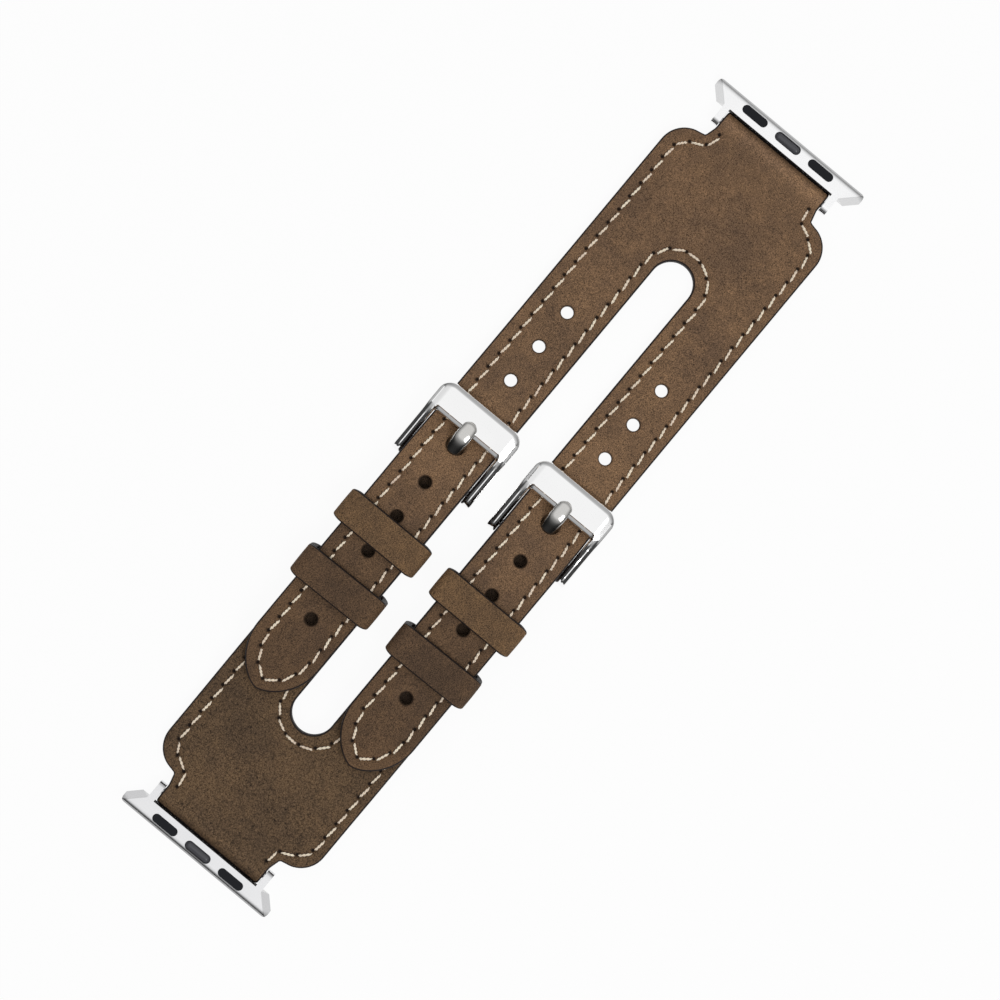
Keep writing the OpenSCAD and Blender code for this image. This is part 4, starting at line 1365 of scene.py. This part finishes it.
def frame_loop():
    """Plan of the frame: two arms that end in eyes, and the bar across their front."""
    back, rear = -EYE_R + 0.03, 0.3
    half = np.concatenate([
        arc(BAR_BACK - 0.5, FRAME_INNER - 0.5, 0.5, 0, 90),
        arc(back + rear, FRAME_INNER + rear, rear, 270, 180, 8),
        arc(back + rear, FRAME_HALF - rear, rear, 180, 90, 8),
        arc(BAR_FRONT - FRONT_CORNER, FRAME_HALF - FRONT_CORNER, FRONT_CORNER, 90, 0)])
    return resampled(np.concatenate([half, mirrored(half)])[::-1], 0.12)


def frame_top(flat):
    """Polished bevels: flat bar with a front, a back and two end slopes, and faceted arms.

    The bar is the least of its planes. Its back bevel ends in a narrow step, and an arm drops from
    its ridge by straight facets.
    """
    x, y = flat[:, 0], np.abs(flat[:, 1])
    corner = np.hypot(
        np.maximum(x - BAR_FRONT + FRONT_CORNER, 0), np.maximum(y - FRAME_HALF + FRONT_CORNER, 0))
    front = np.where(x > BAR_FRONT - FRONT_CORNER, FRONT_CORNER - corner, FRAME_HALF - y)
    back = np.interp(x, *BACK_SLOPE) + 1.5 * np.maximum(y - FRAME_INNER, 0)
    ends = np.interp(y, *END_SLOPE) + np.maximum(END_SLOPE[0][0] - y, 0)
    bar = soft_least(
        0.04, np.full(len(x), BAR_TOP), FRONT_RIM + front * FRONT_SLOPE, back, ends)
    arm = np.where(x < 0, np.sqrt(np.maximum(EYE_R**2 - np.minimum(x, 0) ** 2, 0)), EYE_R)
    arm = arm + 0.35 * step(0.8, 5.3, x)
    roof = np.interp(y, ARM_FACETS, ARM_DROPS)
    arms = arm - roof * np.minimum(1, arm / EYE_R)
    share = np.where(y > FRAME_INNER - 0.3, step(5.2, 8.3, x), 1)
    return arms * (1 - share) + bar * share


def frame_creases():
    """Points along the edges of the facets, so that these meet in straight lines."""
    x = np.arange(-EYE_R + 0.35, 6.4, CREASE_STEP)
    y = np.arange(-6.3, 6.4, CREASE_STEP)
    end_x = np.arange(8.0, 11.3, CREASE_STEP)
    rows = [points_of(x, side * at) for side in (-1, 1) for at in ARM_FACETS[1:-1]]
    rows += [
        points_of(end_x, side * at) for side in (-1, 1) for at in (END_CREASE, END_CREASE + CREASE)]
    rows += [points_of(at, y) for at in (BEVEL_FOOT, BEVEL_FOOT + CREASE)]
    return np.concatenate(rows)


def frame_bottom(flat):
    x = flat[:, 0]
    eye = np.where(x < 0, -np.sqrt(np.maximum(EYE_R**2 - np.minimum(x, 0) ** 2, 0)), -EYE_R)
    return eye + (BAR_UNDER + EYE_R) * step(0.8, BAR_BACK, x)


DRILL_SIDES = 32


def bored(piece, x, y, z, radius, length):
    """Drill a piece along Y."""
    turn = np.arange(DRILL_SIDES) * 2 * math.pi / DRILL_SIDES
    ring = points_of(x + radius * np.cos(turn), y - length / 2, z + radius * np.sin(turn))
    points = np.concatenate([ring, ring + [0, length, 0]])
    cutter = bpy.data.objects.new("drill", mesh_from("drill", points, tube_faces(2, DRILL_SIDES)))
    bpy.context.scene.collection.objects.link(cutter)
    modifier = piece.modifiers.new("bore", "BOOLEAN")
    modifier.object = cutter
    modifier.solver = "EXACT"
    found = piece.evaluated_get(bpy.context.evaluated_depsgraph_get())
    mesh = bpy.data.meshes.new_from_object(found)
    piece.modifiers.clear()
    piece.data = mesh
    mesh.set_sharp_from_angle(angle=FACET_ANGLE)
    bpy.data.objects.remove(cutter)


# Prong, measured from the same axis
PRONG_HALF = 1.45
PRONG_THICK = 1.2
PRONG_CLIMB = math.radians(31)
PRONG_TIP = 9.6
PRONG_ROUND = 0.75
PRONG_RING = 1.45
PRONG_BORE = 0.8
PRONG_SIDES = 28
# The taper: where it starts, its run, and how much of the breadth and thickness it takes
TAPER_FROM, TAPER_RUN, TAPER = 7.6, 2.0, 0.22
RING_STEPS = 48
RING_ROUND = 0.15


def prong_points():
    """The prong as a sweep: up the slope, round the bend, and tapering along the bar.

    Its sections are domed above and flatter below: breadth times cos, and thickness times sin
    above or the square root of sin below.
    """
    x = np.concatenate([
        np.linspace(0.9, 5.0, 12), np.linspace(5.15, PRONG_TIP - PRONG_ROUND, 24),
        PRONG_TIP - PRONG_ROUND * np.cos(np.linspace(0, math.pi / 2, 12))[1:]])
    slope = math.tan(PRONG_CLIMB)
    share = np.clip((x - TAPER_FROM) / TAPER_RUN, 0, 1)
    taper = 1 - TAPER * share**1.3
    past = np.maximum(x - PRONG_TIP + PRONG_ROUND, 0) / PRONG_ROUND
    tip = np.sqrt(np.clip(1 - past**2, 0, 1))
    half = PRONG_HALF * taper * (0.02 + 0.98 * tip**0.9)
    thick = PRONG_THICK / 2 * (1 - TAPER * share) * (0.25 + 0.75 * tip**0.8)
    climb = x * slope
    level = BAR_TOP + 0.04 + thick + 0.10 * (1 - share)
    z = soft_least(0.16, climb, level + 0.0 * x)
    angle = np.arctan(np.gradient(z, x))
    around = np.arange(PRONG_SIDES) * 2 * math.pi / PRONG_SIDES
    up = np.where(np.sin(around) > 0, np.sin(around), -np.abs(np.sin(around)) ** 0.5)
    across = np.cos(around)
    points = points_of(
        x[:, None] - np.sin(angle)[:, None] * thick[:, None] * up, half[:, None] * across[None],
        z[:, None] + np.cos(angle)[:, None] * thick[:, None] * up).reshape(-1, 3)
    return points, tube_faces(len(x), PRONG_SIDES, False)


def ring_points(inner, outer, half):
    """A ring about Y with rounded rims."""
    r = RING_ROUND
    section = np.concatenate([
        arc(half - r, outer - r, r, 90, 0, 4), arc(half - r, inner + r, r, 0, -90, 4),
        arc(-half + r, inner + r, r, -90, -180, 4), arc(-half + r, outer - r, r, 180, 90, 4)])
    turn = (np.arange(RING_STEPS) * 2 * math.pi / RING_STEPS)[:, None]
    y, radius = section.T
    points = points_of(radius * np.cos(turn), y, radius * np.sin(turn)).reshape(-1, 3)
    return points, [ring_quads(RING_STEPS, len(section), closed=True)]


class BAND_OT_buckles(bpy.types.Operator):
    """Shape the two polished buckle frames and their satin prongs."""

    bl_idname = "band.buckles"
    bl_label = "Buckles"

    def execute(self, context):
        chrome = finished("polished_steel", steel_finish, (0.95, 0.95, 0.95), 0.05)
        # The prong gets painted shade where it climbs through the strap's hole, from X = 2.4 to 4.4
        # mm.
        satin = finished(
            "satin_prong_steel", steel_finish, (0.62, 0.61, 0.59), 0.13, blast=0.25,
            soiled=(2.4, 4.4))
        for tag, side in (("a", 1), ("b", -1)):
            place = np.array([BAR_X, side * STRAP_Y, BAR_Z])
            points, faces = solid_plate(
                frame_loop(), frame_top, frame_bottom, 0.2, 0.2, 0.18, frame_creases())
            piece = new_piece(
                f"buckle_frame_{tag}_skin", mesh_from("frame", points + place, faces), [chrome],
                f"buckle_frame_{tag}", [f"buckle_frame_{tag}"])
            for end in (-1, 1):
                middle_y = end * (FRAME_HALF + FRAME_INNER) / 2
                bored(piece, *(place + [0, middle_y, 0]), ARM_HOLE_R, 2.4)
            points, faces = joined(
                *prong_points(), *ring_points(PRONG_BORE, PRONG_RING, PRONG_HALF))
            new_piece(
                f"prong_{tag}_skin", mesh_from("prong", points + place, faces), [satin],
                f"prong_{tag}", [f"prong_{tag}"])
        return {"FINISHED"}


LATCH_RIM = 0.24
LATCH_FLANGE = 0.35
LATCH_DOME = 0.5


def latch_points(size):
    """A latch button about its middle: a flange, and an oblong that stands on it with a domed back.

    The dome drops by LATCH_DOME times q squared, for q from the oblong's middle line out.
    """
    half, reach = size[0] - LATCH_RIM, size[1] - size[0]

    def level(height):
        return lambda flat: np.full(len(flat), height)

    def dome(flat):
        q = np.hypot(np.maximum(np.abs(flat[:, 0]) - reach, 0), flat[:, 1]) / half
        return size[2] - LATCH_DOME * q**2

    seat = -size[2] + LATCH_FLANGE
    oblong = slot_loop(-reach - half, reach + half, 0.0, half)[::-1]
    flange = slot_loop(-size[1], size[1], 0.0, size[0])[::-1]
    points, faces = joined(
        *solid_plate(oblong, dome, level(seat - 0.1), 0.15, 0.05, 0.02),
        *solid_plate(flange, level(seat), level(-size[2]), 0.4, 0.03, 0.03))
    return np.column_stack([-points[:, 1], points[:, 0], points[:, 2]]), faces


class BAND_OT_steel(bpy.types.Operator):
    """Finish the spring bars and the adapters."""

    bl_idname = "band.steel"
    bl_label = "Steel Pieces"

    def execute(self, context):
        adapter = finished("satin_adapter_steel", adapter_finish, (0.95, 0.95, 0.955))
        # The short half's adapter is the same steel painted darker: painted shade of that end of
        # the band.
        shaded_adapter = finished("worn_adapter_steel", adapter_finish, (0.80, 0.80, 0.81))
        bars = finished("spring_bar_steel", steel_finish, (0.55, 0.55, 0.56), 0.25)
        coils = finished("coil_steel", steel_finish, (0.45, 0.46, 0.48), 0.3)
        rubber = finished("black_rubber", plastic_finish, (0.009, 0.010, 0.013), 0.6, 0.15)
        latch = finished("latch_plastic", plastic_finish, (0.008, 0.008, 0.011), 0.12, 0.55)
        kinds = {
            "buckle_bar_tube": bars, "buckle_plunger": bars,
            "buckle_bar_spring": coils, "adapter_bar_tube": bars, "adapter_bar_spring": coils,
            "adapter_plunger": bars, "adapter_short": shaded_adapter, "adapter_": adapter,
            "latch_spring": coils, "latch_cover": adapter, "rubber_pads": rubber}
        for end in ("tail", "short"):
            low, high = (np.array(corner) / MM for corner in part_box(f"latch_button_{end}"))
            points, faces = latch_points((high - low) / 2)
            mesh = mesh_from("latch_button", points + (high + low) / 2, faces)
            new_piece(
                f"latch_button_{end}_skin", mesh, [latch],
                f"latch_button_{end}", [f"latch_button_{end}"])
        for name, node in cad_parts.items():
            for start, material in kinds.items():
                if name.startswith(start):
                    if not node.material_slots:
                        node.data.materials.append(material)
                    for slot in node.material_slots:
                        slot.material = material
                    break
        return {"FINISHED"}


TABLE_HALF = 3000.0
TABLE_LEVEL = -0.02


class BAND_OT_stage(bpy.types.Operator):
    """Lay the white table, light it softly and hang the camera over the band."""

    bl_idname = "band.stage"
    bl_label = "Stage"

    def execute(self, context):
        self.table()
        self.light()
        self.camera()
        return {"FINISHED"}

    def table(self):
        square = np.array([[-1, -1], [1, -1], [1, 1], [-1, 1]]) * TABLE_HALF
        corners = np.column_stack([square, np.full(4, TABLE_LEVEL)])
        mesh = mesh_from("table", corners, [np.array([[0, 1, 2, 3]])])
        table = bpy.data.objects.new("table", mesh)
        bpy.context.scene.collection.objects.link(table)
        finish = Finish("white_table")
        tree = finish.tree
        finish.set(Base_Color=(0.8, 0.8, 0.8, 1.0), Roughness=0.9, Specular_IOR_Level=0.1)
        glow = finish.node("ShaderNodeEmission", {}, (1.0, 1.0, 1.0, 1.0), 1.0)
        path = finish.tree.nodes.new("ShaderNodeLightPath")
        camera, glossy, through = (
            Socket(finish, path.outputs[f"Is {kind} Ray"])
            for kind in ("Camera", "Glossy", "Transmission"))
        seen = (camera + glossy + through).clamped(0.0, 1.0)
        mixed = finish.node(
            "ShaderNodeMixShader", {}, seen * 0.94, Socket(finish, finish.shader.outputs[0]), glow)
        tree.links.new(mixed.value, tree.nodes["Material Output"].inputs[0])
        mesh.materials.append(finish.material)

    def light(self):
        """White at the horizon and the zenith, and a dark ring between, wider towards -X."""
        world = bpy.data.worlds.new("studio")
        bpy.context.scene.world = world
        world.use_nodes = True
        sky = Nodes(world.node_tree)
        place = sky.node("ShaderNodeTexCoord", {}, output="Generated")
        along = sky.node("ShaderNodeSeparateXYZ", {}, place)
        up = Socket(sky, along.value.node.outputs["Z"])
        shifted = up + along * 0.12
        ring = shifted.between(0.26, 0.62) * 0.42 + shifted.between(0.62, 0.92) * 0.52
        ring = up.between(0.09, 0.15) * (1.0 - ring)
        level = 1.0 - ring * (0.95 - along.clamped(0.0, 1.0) ** 2.0 * 0.35)
        grey = sky.node("ShaderNodeCombineXYZ", {}, level, level, level)
        world.node_tree.links.new(grey.value, world.node_tree.nodes["Background"].inputs[0])
        self.lamp("key", (-0.16, -0.46, 0.78), 0.4, 2.6)

    def lamp(self, name, place, size, power):
        data = bpy.data.lights.new(name, "AREA")
        data.size = size
        data.energy = power
        lamp = bpy.data.objects.new(name, data)
        bpy.context.scene.collection.objects.link(lamp)
        lamp.location = place
        lamp.rotation_mode = "QUATERNION"
        lamp.rotation_quaternion = (-Vector(place)).to_track_quat("-Z", "Y")

    def camera(self):
        stage = bpy.context.scene.stage_settings
        data = bpy.data.cameras.new("camera")
        data.sensor_width = 36.0
        data.lens = data.sensor_width * stage.camera_height / stage.view_width
        data.clip_start, data.clip_end = 0.01, 20.0
        camera = bpy.data.objects.new("camera", data)
        bpy.context.scene.collection.objects.link(camera)
        turn = stage.view_turn
        right = (math.cos(turn), -math.sin(turn), 0.0)
        up = (math.sin(turn), math.cos(turn), 0.0)
        camera.matrix_world = Matrix((
            (right[0], up[0], 0.0, 0.0005),
            (right[1], up[1], 0.0, -0.00117),
            (0.0, 0.0, 1.0, stage.camera_height + BAR_Z * MM),
            (0.0, 0.0, 0.0, 1.0)))
        bpy.context.scene.camera = camera


class BAND_PT_panel(bpy.types.Panel):
    """Lists the steps that dress the band."""

    bl_idname = "BAND_PT_panel"
    bl_label = "Watch Band"
    bl_space_type = "VIEW_3D"
    bl_region_type = "UI"
    bl_category = "Watch Band"

    def draw(self, context):
        scene = context.scene
        for group in (scene.band_look, scene.stitch_sizes, scene.stage_settings):
            box = self.layout.box()
            for key in group.__annotations__:
                box.prop(group, key)
        for step_class in STEPS:
            self.layout.operator(step_class.bl_idname)


STEPS = (
    BAND_OT_leather, BAND_OT_stitching, BAND_OT_keepers, BAND_OT_buckles, BAND_OT_steel,
    BAND_OT_stage)
GROUPS = (BandLook, StitchSizes, StageSettings)


def register():
    for item in (*GROUPS, *STEPS, BAND_PT_panel):
        bpy.utils.register_class(item)
    bpy.types.Scene.band_look = PointerProperty(type=BandLook)
    bpy.types.Scene.stitch_sizes = PointerProperty(type=StitchSizes)
    bpy.types.Scene.stage_settings = PointerProperty(type=StageSettings)


def unregister():
    del bpy.types.Scene.stage_settings
    del bpy.types.Scene.stitch_sizes
    del bpy.types.Scene.band_look
    for item in (BAND_PT_panel, *reversed(STEPS), *reversed(GROUPS)):
        bpy.utils.unregister_class(item)


def main():
    register()
    bpy.context.scene.view_settings.view_transform = "Standard"
    bpy.ops.band.leather()
    bpy.ops.band.stitching()
    bpy.ops.band.keepers()
    bpy.ops.band.buckles()
    bpy.ops.band.steel()
    bpy.ops.band.stage()


if __name__ == "__main__":
    main()
